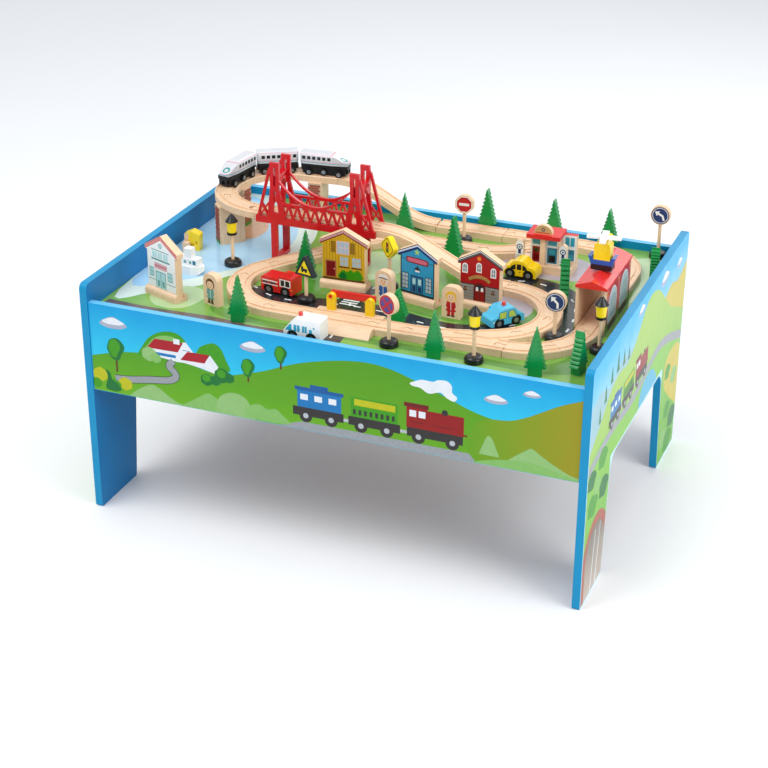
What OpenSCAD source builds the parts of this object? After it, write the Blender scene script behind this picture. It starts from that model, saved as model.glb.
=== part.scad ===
// Wooden train play table: a table on two arched end panels, a board with a
// wooden railway on it, a raised loop with a suspension bridge, and toys.
// Frame: origin on the floor under the table's middle, +X along its length,
// +Y to the back, +Z up. Millimetres.

/* [Table] */
// Length over both end panels
table_l = 850; // [840:5:870]
// Depth of the end panels
table_w = 602; // [600:1:610]
// Height of the end panels
table_h = 408; // [400:1:416]
// Thickness of the end panels
panel_t = 13; // [12:1:15]
// Thickness of the long aprons
apron_t = 12; // [10:1:12]
// Height of the play surface above the floor
board_z = 363; // [355:1:365]
// Height of the apron's lip above the play surface
lip_h = 14; // [10:1:18]
// Depth of the aprons, lip included
apron_h = 155; // [140:5:165]

/* [Railway] */
// Width of the track
track_w = 40; // [40:1:41]
// Thickness of the track
track_t = 12; // [12:1:13]
// Distance of each groove from the middle
groove_y = 13.5; // [13.4:0.1:13.6]
// Width of each groove
groove_w = 7.5; // [7.4:0.1:7.8]
// Depth of each groove
groove_d = 2; // [1.9:0.1:2]
// Middle radius of the curves
curve_r = 100; // [100:1:100]
// Height of the raised track above the ground track
raised_h = 70; // [66:1:72]
// Gap left between two pieces of track
gap = 0.5; // [0.4:0.1:0.8]

/* [Toys] */
// Diameter of a road vehicle's wheels
car_wheel_d = 16; // [15:0.5:16]
// Width of a road vehicle
car_w = 30; // [28:1:30]
// Diameter of the train's wheels
train_wheel_d = 13; // [12.8:0.1:13]
// Width of the train's bodies
train_w = 28; // [26:1:28]
// Height of the fir trees
tree_h = 76; // [60:1:80]
// Width of the house fronts
house_w = 74; // [66:1:76]
// Thickness of the house fronts and figures
plank_t = 14; // [12:1:14]

/* [Hidden] */
$fn = 48;

// ---------- derived places ----------
panel_x = table_l / 2 - panel_t;
apron_y = table_w / 2 - 2;
board_y = apron_y - apron_t;
board_t = 9;
apron_z = board_z + lip_h - apron_h;
rail_top = board_z + track_t;
raised_z = board_z + raised_h;
raised_top = raised_z + track_t;

front_y = -195;
left_c = [-132, front_y + curve_r];
left_exit = 145;
exit_heading = left_exit - 90;
branch_y = 165;
back_y = 250;
right_x = 357;
corner_c = [right_x - curve_r, back_y - curve_r];
outer_c = [right_x - curve_r, front_y + curve_r];
inner_c = [187, -73];
deck_y = inner_c[1] + curve_r;
loop_c = [-262, deck_y + curve_r];
crossing_x = [-66, 48];
fork_x = 105;
bridge_x = [-256, -38];
bridge_y = [1.5, 52.5];
side_t = 5;
loop_turn = 174.7;
level_run = 74;
ramp_run = 182;

function polar(c, r, a) = [c[0] + r * cos(a), c[1] + r * sin(a)];
function arc_points(c, r, a0, a1, n) = [for (i = [0:n]) polar(c, r, a0 + (a1 - a0) * i / n)];

exit_p = polar(left_c, curve_r, left_exit);
under_run = (branch_y - curve_r - left_c[1]) / sin(exit_heading);
mid_c = [left_c[0] + under_run * cos(exit_heading), branch_y - curve_r];
leg_p = polar(corner_c, curve_r, 135);
yard_c = [leg_p[0] - curve_r * sin(45) - (leg_p[1] - branch_y - curve_r * (1 - cos(45))), branch_y + curve_r];
yard_p = polar(yard_c, curve_r, -45);
back_turn_l = 147;
back_leg_l = 8;

// the front turnout's long leg is an arc that meets the inner loop tangentially
fork_dx = inner_c[0] - fork_x;
fork_dy = inner_c[1] - front_y;
fork_r = (fork_dx * fork_dx + fork_dy * fork_dy - curve_r * curve_r) / (2 * (fork_dy - curve_r));
fork_a = atan2(fork_dx, fork_r - fork_dy);
fork_tail = 20;
inner_start = -90 + fork_a + fork_tail;

loop_p = polar(loop_c, curve_r, 270 - loop_turn);
loop_heading = 180 - loop_turn;
ramp_p = loop_p + level_run * [cos(loop_heading), sin(loop_heading)];
ramp_end = ramp_p + ramp_run * [cos(loop_heading), sin(loop_heading)];

// ---------- track ----------
module at(p, heading = 0, z = board_z) {
    translate([p[0], p[1], z]) rotate([0, 0, heading]) children();
}

module blank_section() {
    c = 1.2;
    h = track_w / 2;
    polygon([[-h, 0], [h, 0], [h, track_t - c], [h - c, track_t], [c - h, track_t], [-h, track_t - c]]);
}

module groove_section() {
    for (s = [-1, 1]) translate([s * groove_y - groove_w / 2, track_t - groove_d]) square([groove_w, groove_d + 1]);
}

module track_section() {
    difference() {
        blank_section();
        groove_section();
    }
}

module peg() {
    h = track_t - 1;
    translate([-0.01, -3, 0]) cube([9, 6, h]);
    translate([12, 0, 0]) cylinder(r = 6, h = h);
}

module socket() {
    translate([-1, -3.6, -1]) cube([9, 7.2, track_t + 2]);
    translate([12 - gap, 0, -1]) cylinder(r = 6.6, h = track_t + 2);
}

module run_straight(l) {
    rotate([90, 0, 90]) linear_extrude(l) children();
}

module run_curve(r, a) {
    translate([0, r, 0]) rotate([0, 0, -90]) rotate_extrude(angle = a, $fn = 96) translate([r, 0]) children();
}

module straight_track(l, has_socket = true, has_peg = true) {
    difference() {
        run_straight(l - gap) track_section();
        if (has_socket) socket();
    }
    if (has_peg) translate([l - gap, 0, 0]) peg();
}

// side is 1 for a left curve and -1 for a right curve
module curved_track(r, a, side = 1, has_socket = true, has_peg = true) {
    b = a - gap * 57.3 / r;
    mirror([0, side > 0 ? 0 : 1, 0]) {
        difference() {
            run_curve(r, b) track_section();
            if (has_socket) socket();
        }
        if (has_peg) translate([r * sin(b), r * (1 - cos(b)), 0]) rotate([0, 0, b]) peg();
    }
}

module curve_set(c, a_start, a_total, n, side, z = board_z) {
    for (i = [0:n - 1]) {
        a = a_start + side * a_total * i / n;
        at(polar(c, curve_r, a), a + side * 90, z) curved_track(curve_r, a_total / n, side);
    }
}

module straight_tracks() {
    color("burlywood") {
        at([crossing_x[0], front_y], 180) straight_track(crossing_x[0] - left_c[0]);
        at([fork_x, front_y], 180) straight_track(fork_x - crossing_x[1]);
        for (i = [0, 1]) {
            s = under_run * i / 2;
            at(exit_p + s * [cos(exit_heading), sin(exit_heading)], exit_heading) straight_track(under_run / 2);
        }
        at([mid_c[0], branch_y]) straight_track(yard_c[0] - mid_c[0]);
        at(yard_p, 45) straight_track(norm(leg_p - yard_p) - back_leg_l);
        at([ramp_end[0] + 3, back_y]) straight_track(corner_c[0] - back_turn_l - ramp_end[0] - 3, has_socket = false);
        at([right_x, corner_c[1]], -90) straight_track(corner_c[1] - 50);
        at([right_x, 50], -90) straight_track(50 - outer_c[1]);
    }
}

module curved_tracks() {
    color("burlywood") {
        curve_set(left_c, 270, 270 - left_exit, 3, -1);
        curve_set(mid_c, left_exit, exit_heading, 1, -1);
        curve_set(yard_c, -90, 45, 1, 1);
        curve_set(corner_c, 90, 90, 2, -1);
        curve_set(outer_c, 0, 90, 2, -1);
        curve_set(inner_c, 90, 90 - inner_start, 3, -1);
    }
}

// points beside a left curve of radius r and centre c, at offset o to its left
function bend(r, a0, a1, o, c, n = 12) =
    [for (i = [0:n]) let (t = a0 + (a1 - a0) * i / n) [c[0] + (r - o) * sin(t), c[1] - (r - o) * cos(t)]];

// the back turnout's curved leg, with a short straight end that clears the straight leg
function back_leg(o, extra = 0) =
    let (d = [cos(45), sin(45)] * (back_leg_l + extra), p = bend(curve_r, 0, 45, o, [0, curve_r]))
    concat([[-extra, o]], p, [p[len(p) - 1] + d]);

// the front turnout's curved leg runs into the inner loop's own curve
function front_leg(o, extra = 0) =
    let (c = [0, fork_r] + (fork_r - curve_r) * [sin(fork_a), -cos(fork_a)])
    concat([[-extra, o]], bend(fork_r, 0, fork_a, o, [0, fork_r]),
        bend(curve_r, fork_a + 2, fork_a + fork_tail + extra, o, c, 6));

function leg_outline(kind, o0, o1, extra = 0) =
    let (low = kind == "back" ? back_leg(o0, extra) : front_leg(o0, extra),
        high = kind == "back" ? back_leg(o1, extra) : front_leg(o1, extra), n = len(high))
    concat(low, [for (i = [n - 1:-1:0]) high[i]]);

module turnout(kind, l, leg_end, leg_heading) {
    h = track_w / 2;
    difference() {
        union() {
            translate([0, -h, 0]) cube([l, track_w, track_t]);
            linear_extrude(track_t) polygon(leg_outline(kind, -h, h));
        }
        for (s = [-1, 1]) {
            translate([-1, s * groove_y - groove_w / 2, track_t - groove_d]) cube([l + 2, groove_w, groove_d + 1]);
            translate([0, 0, track_t - groove_d]) linear_extrude(groove_d + 1)
                polygon(leg_outline(kind, s * groove_y - groove_w / 2, s * groove_y + groove_w / 2, 1));
        }
        translate([l, 0, 0]) rotate([0, 0, 180]) socket();
        translate([leg_end[0], leg_end[1], 0]) rotate([0, 0, leg_heading + 180]) socket();
    }
    rotate([0, 0, 180]) peg();
}

module turnout_tracks() {
    back_end = [curve_r * sin(45), curve_r * (1 - cos(45))] + back_leg_l * [cos(45), sin(45)];
    a = fork_a + fork_tail;
    front_end = inner_c - [fork_x, front_y] + curve_r * [sin(a), -cos(a)];
    color("burlywood") {
        at([corner_c[0], back_y], 180) turnout("back", back_turn_l - gap, back_end, 45);
        at([fork_x, front_y]) turnout("front", outer_c[0] - fork_x - gap, front_end, a);
    }
}

module crossing_track() {
    half = 30;
    slope = 13;
    color("burlywood") at([crossing_x[1], front_y], 180) {
        l = crossing_x[1] - crossing_x[0] - gap;
        difference() {
            run_straight(l) polygon([[-half - slope, 0], [half + slope, 0], [half + slope, 1], [half, track_t],
                [-half, track_t], [-half - slope, 1]]);
            run_straight(l) groove_section();
            socket();
        }
        translate([l, 0, 0]) peg();
    }
}

module raised_tracks() {
    deck_l = bridge_x[1] - bridge_x[0];
    color("burlywood") {
        at([bridge_x[1], deck_y], 180, raised_z) straight_track(deck_l);
        at([bridge_x[0], deck_y], 180, raised_z) run_straight(bridge_x[0] - loop_c[0] - gap) track_cut_section();
        curve_set(loop_c, 270, loop_turn, 4, -1, raised_z);
        at(loop_p, loop_heading, raised_z) straight_track(level_run);
    }
}

// a short filler keeps a hole for the peg that passes through it
module track_cut_section() {
    difference() {
        track_section();
        translate([-7, -1]) square([14, track_t + 2]);
    }
}

// ramp: two arcs and a straight slope between them, from the top down
function ramp_radius(run, rise, a) = (run - rise / tan(a)) / (2 * (sin(a) - (1 - cos(a)) / tan(a)));
function ramp_line(run, rise, a, drop, n = 8) =
    let (r = ramp_radius(run, rise, a))
    concat(
        arc_points([0, rise - r - drop], r, 90, 90 - a, n),
        arc_points([run, r - drop], r, 270 - a, 270, n)
    );

module ramp_strip(run, rise, a, y0, y1, drop) {
    top = ramp_line(run, rise, a, drop);
    low = ramp_line(run, rise, a, track_t);
    n = len(low);
    translate([0, y1, track_t]) rotate([90, 0, 0]) linear_extrude(y1 - y0)
        polygon(concat(top, [for (i = [0:n - 1]) low[n - 1 - i]]));
}

module ramp_track(run, rise, a) {
    g0 = groove_y - groove_w / 2;
    g1 = groove_y + groove_w / 2;
    h = track_w / 2;
    difference() {
        union() {
            ramp_strip(run, rise, a, -h, h, groove_d);
            for (y = [[-h, -g1], [-g0, g0], [g1, h]]) ramp_strip(run, rise, a, y[0], y[1], 0);
        }
        children();
    }
}

module ramp_tracks() {
    front_run = inner_c[0] - bridge_x[1] - 2 * gap;
    color("burlywood") {
        at([bridge_x[1] + gap, deck_y]) {
            ramp_track(front_run, raised_h, 26);
            translate([0, 0, raised_h]) rotate([0, 0, 180]) peg();
            translate([front_run, 0, 0]) peg();
        }
        at(ramp_p, loop_heading) ramp_track(ramp_run, raised_h, 30) translate([0, 0, raised_h]) socket();
    }
}

module brick_piers() {
    color("indianred") {
        for (a = [225, 172]) at(polar(loop_c, curve_r, a), a) pier();
        at([-240, deck_y + 2 * curve_r + 1], 90 + loop_heading) pier();
    }
}

module pier() {
    translate([-23, -12, 0]) cube([46, 24, raised_h]);
}

// ---------- bridge ----------
module bar(p, q, w) {
    d = (q - p) / norm(q - p);
    n = [-d[1], d[0]] * w / 2;
    polygon([p - n, q - n, q + n, p + n]);
}

module bridge_side_outline() {
    z0 = -2;
    deck_top = 10;
    chord = 33;
    tower_top = 107;
    l = bridge_x[1] - bridge_x[0];
    for (m = [0, 1]) translate([m * l, 0]) mirror([m, 0]) {
        difference() {
            polygon([[22, z0], [55, z0], [54, 20], [44, 60], [45, tower_top], [28, tower_top], [28, 60], [23, 20]]);
            polygon([[33, 18], [43, 18], [38, 58], [35, 58]]);
            polygon([[34.5, 66], [38.5, 66], [38, 98], [35, 98]]);
        }
        bar([2, z0], [27, tower_top - 12], 4);
        bar([9, 12], [24, 34], 3);
        bar([12, 32], [24, 10], 3);
        bar([27, tower_top - 11], [33, tower_top - 11], 5);
        translate([28, -raised_h]) square([12, raised_h + z0 + 1]);
    }
    translate([0, z0]) square([l, deck_top - z0]);
    translate([50, chord]) square([l - 100, 4]);
    cells = 7;
    w = (l - 106) / cells;
    for (i = [0:cells - 1]) {
        x = 53 + i * w;
        bar([x, deck_top - 1], [x + w / 2, chord + 1], 3);
        bar([x + w, deck_top - 1], [x + w / 2, chord + 1], 3);
    }
    low = chord + 3;
    sag = 38;
    span = l - 88;
    n = 16;
    upper = [for (i = [0:n]) let (t = 2 * i / n - 1) [44 + span * i / n, low + 2 + sag * t * t]];
    lower = [for (i = [n:-1:0]) let (t = 2 * i / n - 1) [44 + span * i / n, low - 2 + sag * t * t]];
    polygon(concat(upper, lower));
}

module bridge_sides() {
    color("crimson") for (y = bridge_y) {
        translate([bridge_x[0], (y < deck_y ? y : y - side_t) + side_t, raised_z])
            rotate([90, 0, 0]) linear_extrude(side_t) bridge_side_outline();
    }
}

// ties under the deck, at the feet and high between the towers
module bridge_portals() {
    inner = bridge_y[1] - bridge_y[0] - 2 * side_t;
    y0 = bridge_y[0] + side_t;
    color("crimson") {
        for (x = [[-254, 8], [-221, 10], [-180, 8], [-151, 8], [-122, 8], [-83, 10], [-48, 8]])
            translate([x[0], y0, raised_z - 4]) cube([x[1], inner, 4]);
        for (x = [-228, -78]) {
            translate([x, y0, board_z]) cube([12, inner, 7]);
            translate([x, y0, raised_z + 60]) portal_beam(inner);
        }
    }
}

module portal_beam(w) {
    translate([0, w / 2, 0]) rotate([90, 0, 90]) linear_extrude(12) difference() {
        translate([-w / 2, 0]) square([w, 22]);
        translate([0, -4]) circle(r = 15);
        for (y = [-14, 14]) translate([y, 15]) circle(r = 3);
    }
}

// ---------- level crossing gate ----------
gate_y = -171;
gate_x = [-42, 24];
gate_z = rail_top + 24;

module gate_posts() {
    color("gold") for (x = gate_x) translate([x, gate_y + 4, rail_top]) rotate([90, 0, 0]) linear_extrude(8) difference() {
        union() {
            translate([-7, 0]) square([14, 22]);
            translate([0, 22]) circle(r = 7);
        }
        if (x == gate_x[0]) translate([0, gate_z - rail_top]) circle(r = 1.8);
    }
}

module gate_arm() {
    color("red") translate([gate_x[0], gate_y + 9.4, gate_z]) rotate([90, 0, 0]) {
        linear_extrude(5) union() {
            translate([0, -4]) square([gate_x[1] - gate_x[0] + 7, 11]);
            translate([0, 1.5]) circle(r = 5.5);
        }
        translate([0, 0, 4]) cylinder(r = 1.5, h = 10.8);
        translate([0, 0, 13.8]) cylinder(r = 3, h = 1.4);
    }
}

// ---------- table ----------
function panel_outline() =
    let (h = table_w / 2, foot = h - 119, knee = h - 136, spring = 170, top = 200, r = 10, k = 30)
    concat(
        [[-h + 3, 0], [-foot - 3, 0], [-foot, 3]],
        [[-knee, spring]],
        arc_points([-knee + k, top - k], k, 180, 90, 6),
        arc_points([knee - k, top - k], k, 90, 0, 6),
        [[knee, spring]],
        [[foot, 3], [foot + 3, 0], [h - 3, 0], [h, 3]],
        arc_points([h - r, table_h - r], r, 0, 90, 6),
        arc_points([r - h, table_h - r], r, 90, 180, 6),
        [[-h, 3]]
    );

bolt_z = [apron_z + 28, apron_z + 108];
bolt_y = apron_y - apron_t / 2;

module end_panel(side) {
    difference() {
        translate([side > 0 ? panel_x : -panel_x - panel_t, 0, 0])
            rotate([90, 0, 90]) linear_extrude(panel_t) polygon(panel_outline());
        for (y = [-bolt_y, bolt_y], z = bolt_z)
            translate([side * (panel_x - 1), y, z]) rotate([0, side * 90, 0]) cylinder(r = 3.2, h = 10);
    }
}

module end_panel_left() { color("deepskyblue") end_panel(-1); }
module end_panel_right() { color("deepskyblue") end_panel(1); }

module apron(side) {
    translate([0, side > 0 ? board_y : -apron_y, 0]) difference() {
        translate([-panel_x, 0, apron_z]) cube([2 * panel_x, apron_t, apron_h]);
        for (s = [-1, 1], z = bolt_z) {
            translate([s * (panel_x + 1), apron_t / 2, z]) rotate([0, -s * 90, 0]) cylinder(r = 3.2, h = 36);
            translate([s * (panel_x - 34), side > 0 ? -1 : apron_t + 1, z])
                rotate([-side * 90, 0, 0]) cylinder(r = 7.7, h = 11);
        }
    }
}

module front_apron() { color("skyblue") apron(-1); }
module back_apron() { color("skyblue") apron(1); }

module corner_bolts() {
    color("silver") for (sx = [-1, 1], sy = [-1, 1], z = bolt_z) {
        translate([sx * (panel_x + 8), sy * bolt_y, z]) rotate([0, -sx * 90, 0]) cylinder(r = 3, h = 40);
        translate([sx * (panel_x - 34), sy * (board_y + 0.3), z]) rotate([-sy * 90, 0, 0]) cylinder(r = 7.4, h = 9);
    }
}

module play_board() {
    color("yellowgreen") translate([-panel_x, -board_y, board_z - board_t]) cube([2 * panel_x, 2 * board_y, board_t]);
}

// battens screwed inside the aprons and panels; the board lies on them
module board_rails() {
    t = 18;
    z = board_z - board_t - t;
    color("wheat") {
        for (s = [-1, 1]) {
            translate([-panel_x + 60, s > 0 ? board_y - t : -board_y, z]) cube([2 * panel_x - 120, t, t]);
            translate([s > 0 ? panel_x - t : -panel_x, -board_y + 60, z]) cube([t, 2 * board_y - 120, t]);
        }
        translate([-10, -board_y + t + 0.5, z]) cube([20, 2 * (board_y - t - 0.5), t]);
    }
}

// ---------- train ----------
engine_l = 90;
coach_l = 75;
engine_base = 28;
coach_base = 24;
wheel_y = 14;
wheel_t = 3;
axle_h = train_wheel_d / 2 - groove_d + 0.3;
middle_lift = 2.2;
lead_a = 173;
coach_a = 121;
tail_s = 46;
sill_z = 20;
body_h = 20.5;

// a car on the curve stands on a chord: both outer axles lie on the middle line
module on_curve(a, base) {
    r = sqrt(curve_r * curve_r - base * base);
    translate([loop_c[0] + r * cos(a), loop_c[1] + r * sin(a), raised_top]) rotate([0, 0, a + 90]) children();
}

module on_lead() { on_curve(lead_a, engine_base) children(); }
module on_coach() { on_curve(coach_a, coach_base) children(); }
module on_tail() {
    p = loop_p + tail_s * [cos(loop_heading), sin(loop_heading)];
    translate([p[0], p[1], raised_top]) rotate([0, 0, loop_heading]) children();
}

module wheel_set(r, t, y, pin_r) {
    rotate([90, 0, 0]) {
        cylinder(r = pin_r, h = 2 * y, center = true);
        for (s = [-1, 1]) translate([0, 0, s * y]) cylinder(r = r, h = t, center = true);
    }
}

module train_axle(x, lift = 0) {
    color("dimgray") translate([x, 0, axle_h + lift]) wheel_set(train_wheel_d / 2, wheel_t, wheel_y, 1.5);
}

module chassis(l, axles) {
    w = 2 * (wheel_y - wheel_t / 2 - 0.5);
    difference() {
        union() {
            translate([-l / 2 + 5, -w / 2, 2.2]) cube([l - 10, w, 12.4]);
            translate([0, 0, 14.6]) linear_extrude(sill_z - 14.6) offset_rect(l - 2, train_w - 1, 5);
            translate([-l / 2 + 1, -7, 5]) cube([l - 2, 14, 10]);
        }
        for (a = axles) translate([a[0], 0, axle_h + a[1]]) rotate([90, 0, 0]) cylinder(r = 1.8, h = 60, center = true);
        for (s = [-1, 1]) translate([s * (l / 2 + 1), 0, 9]) rotate([0, -s * 90, 0]) cylinder(r = 3.6, h = 5);
    }
}

module magnet(x, s) {
    translate([x, 0, 9]) rotate([0, s * 90, 0]) {
        cylinder(r = 3.4, h = 3);
        translate([0, 0, 3]) cylinder(r = 4, h = 2.4);
    }
}

// cross-section of a car body: flat sides, round shoulders
module body_section(h) {
    w = train_w / 2;
    r = 8;
    polygon(concat([[-w, 0], [w, 0]], arc_points([w - r, h - r], r, 0, 80, 6), arc_points([r - w, h - r], r, 100, 180, 6)));
}

module coach_shape() {
    l = coach_l;
    intersection() {
        translate([-l / 2, 0, sill_z]) run_straight(l) body_section(body_h);
        translate([0, 0, sill_z]) linear_extrude(body_h + 1) offset_rect(l, train_w, 6);
    }
}

module offset_rect(l, w, r) {
    polygon(concat(arc_points([l / 2 - r, w / 2 - r], r, 0, 90, 5), arc_points([r - l / 2, w / 2 - r], r, 90, 180, 5),
        arc_points([r - l / 2, r - w / 2], r, 180, 270, 5), arc_points([l / 2 - r, r - w / 2], r, 270, 360, 5)));
}

// long duck nose at +X
module engine_shape() {
    l = engine_l;
    h = body_h;
    x = l / 2;
    w = train_w / 2;
    r = 6;
    intersection() {
        translate([-x, 0, sill_z]) run_straight(l) body_section(h);
        translate([0, w + 1, sill_z]) rotate([90, 0, 0]) linear_extrude(2 * w + 2)
            polygon(concat([[-x, 0], [x - 3, 0]], arc_points([x - 3, 3], 3, -90, 60, 5),
                [[x - 10, 7.5], [x - 20, 13.4], [x - 30, 17.8], [x - 38, 20], [x - 44, h], [-x, h]]));
        translate([0, 0, sill_z - 1]) linear_extrude(h + 2)
            polygon(concat([[x - 30, w], [x - 44, w]], arc_points([r - x, w - r], r, 90, 180, 5),
                arc_points([r - x, r - w], r, 180, 270, 5), [[x - 44, -w], [x - 30, -w], [x - 14, -w + 2.5]],
                arc_points([x - 8, -w + 11], 8, -70, 0, 4), arc_points([x - 8, w - 11], 8, 0, 70, 4), [[x - 14, w - 2.5]]));
    }
}

engine_axles = [[engine_base, 0], [0, middle_lift], [-engine_base, 0]];
coach_axles = [[coach_base, 0], [-coach_base, 0]];

module lead_engine_body() { color("whitesmoke") on_lead() engine_shape(); }
module lead_engine_chassis() { color("black") on_lead() chassis(engine_l, engine_axles); }
module lead_engine_magnet() { color("silver") on_lead() magnet(-engine_l / 2 + 4, -1); }
module lead_engine_axle_1() { on_lead() train_axle(engine_base); }
module lead_engine_axle_2() { on_lead() train_axle(0, middle_lift); }
module lead_engine_axle_3() { on_lead() train_axle(-engine_base); }
module coach_body() { color("whitesmoke") on_coach() coach_shape(); }
module coach_chassis() { color("black") on_coach() chassis(coach_l, coach_axles); }
module coach_magnets() { color("silver") for (s = [-1, 1]) on_coach() magnet(s * (coach_l / 2 - 4), s); }
module coach_axle_1() { on_coach() train_axle(coach_base); }
module coach_axle_2() { on_coach() train_axle(-coach_base); }
module tail_engine_body() { color("whitesmoke") on_tail() engine_shape(); }
module tail_engine_chassis() { color("black") on_tail() chassis(engine_l, engine_axles); }
module tail_engine_magnet() { color("silver") on_tail() magnet(-engine_l / 2 + 4, -1); }
module tail_engine_axle_1() { on_tail() train_axle(engine_base); }
module tail_engine_axle_2() { on_tail() train_axle(0, middle_lift); }
module tail_engine_axle_3() { on_tail() train_axle(-engine_base); }

// ---------- road vehicles ----------
car_base = 16;
car_tyre = 5;
car_axle_h = car_wheel_d / 2 + 0.05;

module on_ambulance() { at([-46, -263], 178) children(); }
module on_fire_truck() { at([-156, -114], -8) children(); }
module on_police_car() { at([219, -94], 52) children(); }
module on_taxi() { at([188, 101], 178) children(); }

module car_axle(x) {
    color("dimgray") translate([x, 0, car_axle_h]) wheel_set(car_wheel_d / 2, car_tyre, (car_w - car_tyre) / 2, 1.5);
}

module car_block(points) {
    well = car_tyre + 0.6;
    difference() {
        translate([0, car_w / 2, 0]) rotate([90, 0, 0]) linear_extrude(car_w) polygon(points);
        for (x = [-car_base, car_base]) translate([x, 0, car_axle_h]) rotate([90, 0, 0]) {
            cylinder(r = 1.8, h = car_w + 2, center = true);
            for (s = [-1, 1]) translate([0, 0, s * (car_w / 2 - well / 2 + 0.5)])
                cylinder(r = car_wheel_d / 2 + 1.4, h = well + 1, center = true);
        }
    }
}

module beacon(x, z) {
    translate([x, 0, z]) cylinder(r = 3.5, h = 5.5);
}

module ambulance_body() {
    on_ambulance() {
        color("white") car_block(concat([[-31, 4.5], [30, 4.5]], arc_points([28, 14], 3.5, -10, 30, 3),
            arc_points([10, 31.5], 6, 40, 90, 5), arc_points([-28, 34.5], 3, 90, 180, 4)));
        color("red") beacon(8, 37.5);
    }
}
module ambulance_axle_1() { on_ambulance() car_axle(car_base); }
module ambulance_axle_2() { on_ambulance() car_axle(-car_base); }

module fire_truck_body() {
    on_fire_truck() {
        color("red") car_block(concat([[-30, 4.5], [30, 4.5]], arc_points([26, 30], 4, 0, 90, 4),
            [[5, 34], [3, 29]], arc_points([-27, 26], 3, 90, 180, 4)));
        color("red") beacon(15, 34);
    }
}
module fire_truck_axle_1() { on_fire_truck() car_axle(car_base); }
module fire_truck_axle_2() { on_fire_truck() car_axle(-car_base); }

module police_car_body() {
    on_police_car() {
        color("skyblue") car_block(concat([[-31, 4.5], [31, 4.5]], arc_points([27.5, 14], 3.5, 0, 70, 4),
            [[19, 20]], arc_points([10, 26], 5, 40, 90, 4), arc_points([-8, 26], 5, 90, 140, 4),
            [[-21, 19]], arc_points([-28, 15], 3, 110, 180, 4)));
        color("red") beacon(1, 31);
    }
}
module police_car_axle_1() { on_police_car() car_axle(car_base); }
module police_car_axle_2() { on_police_car() car_axle(-car_base); }

module taxi_body() {
    on_taxi() color("gold") car_block(concat([[-30, 4.5], [30, 4.5]], arc_points([20, 11], 10, 0, 75, 6),
        arc_points([1, 14], 18, 25, 150, 12), arc_points([-19, 11], 11, 100, 180, 6)));
}
module taxi_axle_1() { on_taxi() car_axle(car_base); }
module taxi_axle_2() { on_taxi() car_axle(-car_base); }

// ---------- engine shed and helicopter ----------
shed_y = [-82, 64];
shed_h = 77;
shed_half = 20.8;
wall_t = 4;
roof_rise = 9;
roof_t = 4;

module shed_walls() {
    color("burlywood") for (s = [-1, 1])
        translate([right_x + (s > 0 ? shed_half : -shed_half - wall_t), shed_y[0], board_z])
            cube([wall_t, shed_y[1] - shed_y[0], shed_h]);
}

module shed_roof() {
    w = shed_half + wall_t + 1;
    color("red") translate([right_x, shed_y[1] + 3, board_z + shed_h]) rotate([90, 0, 0])
        linear_extrude(shed_y[1] - shed_y[0] + 6) polygon([[-w, 0], [w, 0], [w, roof_t], [0, roof_t + roof_rise], [-w, roof_t]]);
}

heli_y = -26;
heli_z = board_z + shed_h + roof_t + roof_rise;

module on_heli() { translate([right_x + 1, heli_y, heli_z]) children(); }

module helicopter_body() {
    on_heli() {
        color("black") translate([-17, -10, 0.05]) cube([34, 20, 9]);
        color("blue") translate([0, 10, 9.05]) rotate([90, 0, 0]) linear_extrude(20)
            polygon([[-17, 0], [17, 0], [22, 13], [16, 13], [13, 8], [-13, 8], [-16, 13], [-22, 13]]);
        color("yellow") difference() {
            translate([0, 10, 17.05]) rotate([90, 0, 0]) linear_extrude(20)
                polygon(concat([[-13, 0], [13, 0]], arc_points([7, 22], 6, 0, 90, 5), arc_points([-7, 22], 6, 90, 180, 5)));
            translate([0, 0, 34]) cylinder(r = 2.3, h = 12);
        }
        color("yellow") {
            translate([0, 10, 39]) rotate([-90, 0, 0]) cylinder(r = 2.5, h = 20);
            translate([0, 34, 40]) sphere(r = 6);
        }
    }
}

module helicopter_rotor() {
    on_heli() {
        color("white") {
            translate([0, 0, 35]) cylinder(r = 2, h = 16);
            rotate([0, 0, 8]) translate([-27, -5, 50]) cube([54, 10, 4]);
            rotate([0, 0, 8]) translate([-5, -24, 50]) cube([10, 48, 4]);
            translate([0, 0, 53]) cylinder(r = 4, h = 4);
        }
    }
}

// ---------- fuel station ----------
module fuel_station() {
    wall_h = 48;
    base_t = 14;
    at([216, 143], 2) translate([0, 0, base_t]) {
        color("burlywood") translate([-48, -22, -base_t]) cube([98, 48, base_t]);
        color("white") translate([-24, -10, 0]) cube([48, 20, wall_h]);
        color("white") translate([-24, 12, 0]) cube([74, 10, wall_h]);
        color("white") for (x = [-41, 34]) translate([x, -10, 0]) rotate([90, 0, 0]) linear_extrude(8) union() {
            translate([-7, 0]) square([14, 34]);
            translate([0, 33.5]) circle(r = 7);
        }
        color("burlywood") translate([-5, -19, 0]) cube([8, 8, wall_h]);
        color("red") translate([-29, -23, wall_h]) cube([58, 46, 7]);
        color("wheat") translate([-2, -6, wall_h + 7]) rotate([90, 0, 0]) linear_extrude(10) intersection() {
            circle(r = 16);
            translate([-20, 0]) square([40, 20]);
        }
    }
}

// ---------- houses ----------
// place, heading, width, height of the eaves and of the ridge
houses = [
    [[-323, -201], -21, house_w - 6, 84, 107], [[-67, -57], 3, house_w, 83, 104],
    [[68, -67], -13, house_w - 8, 85, 104], [[168, -52], -4, house_w - 6, 82, 103]
];
base_h = 14;
base_w = 27;
base_more = 3;
slot_z = 6;

module house_front(width, eave, ridge) {
    w = width / 2;
    e = w + 5;
    translate([0, plank_t / 2, 0]) rotate([90, 0, 0]) linear_extrude(plank_t)
        polygon([[-w, slot_z], [w, slot_z], [w, eave - 4], [e, eave - 7], [e, eave], [0, ridge], [-e, eave], [-e, eave - 7], [-w, eave - 4]]);
}

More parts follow.
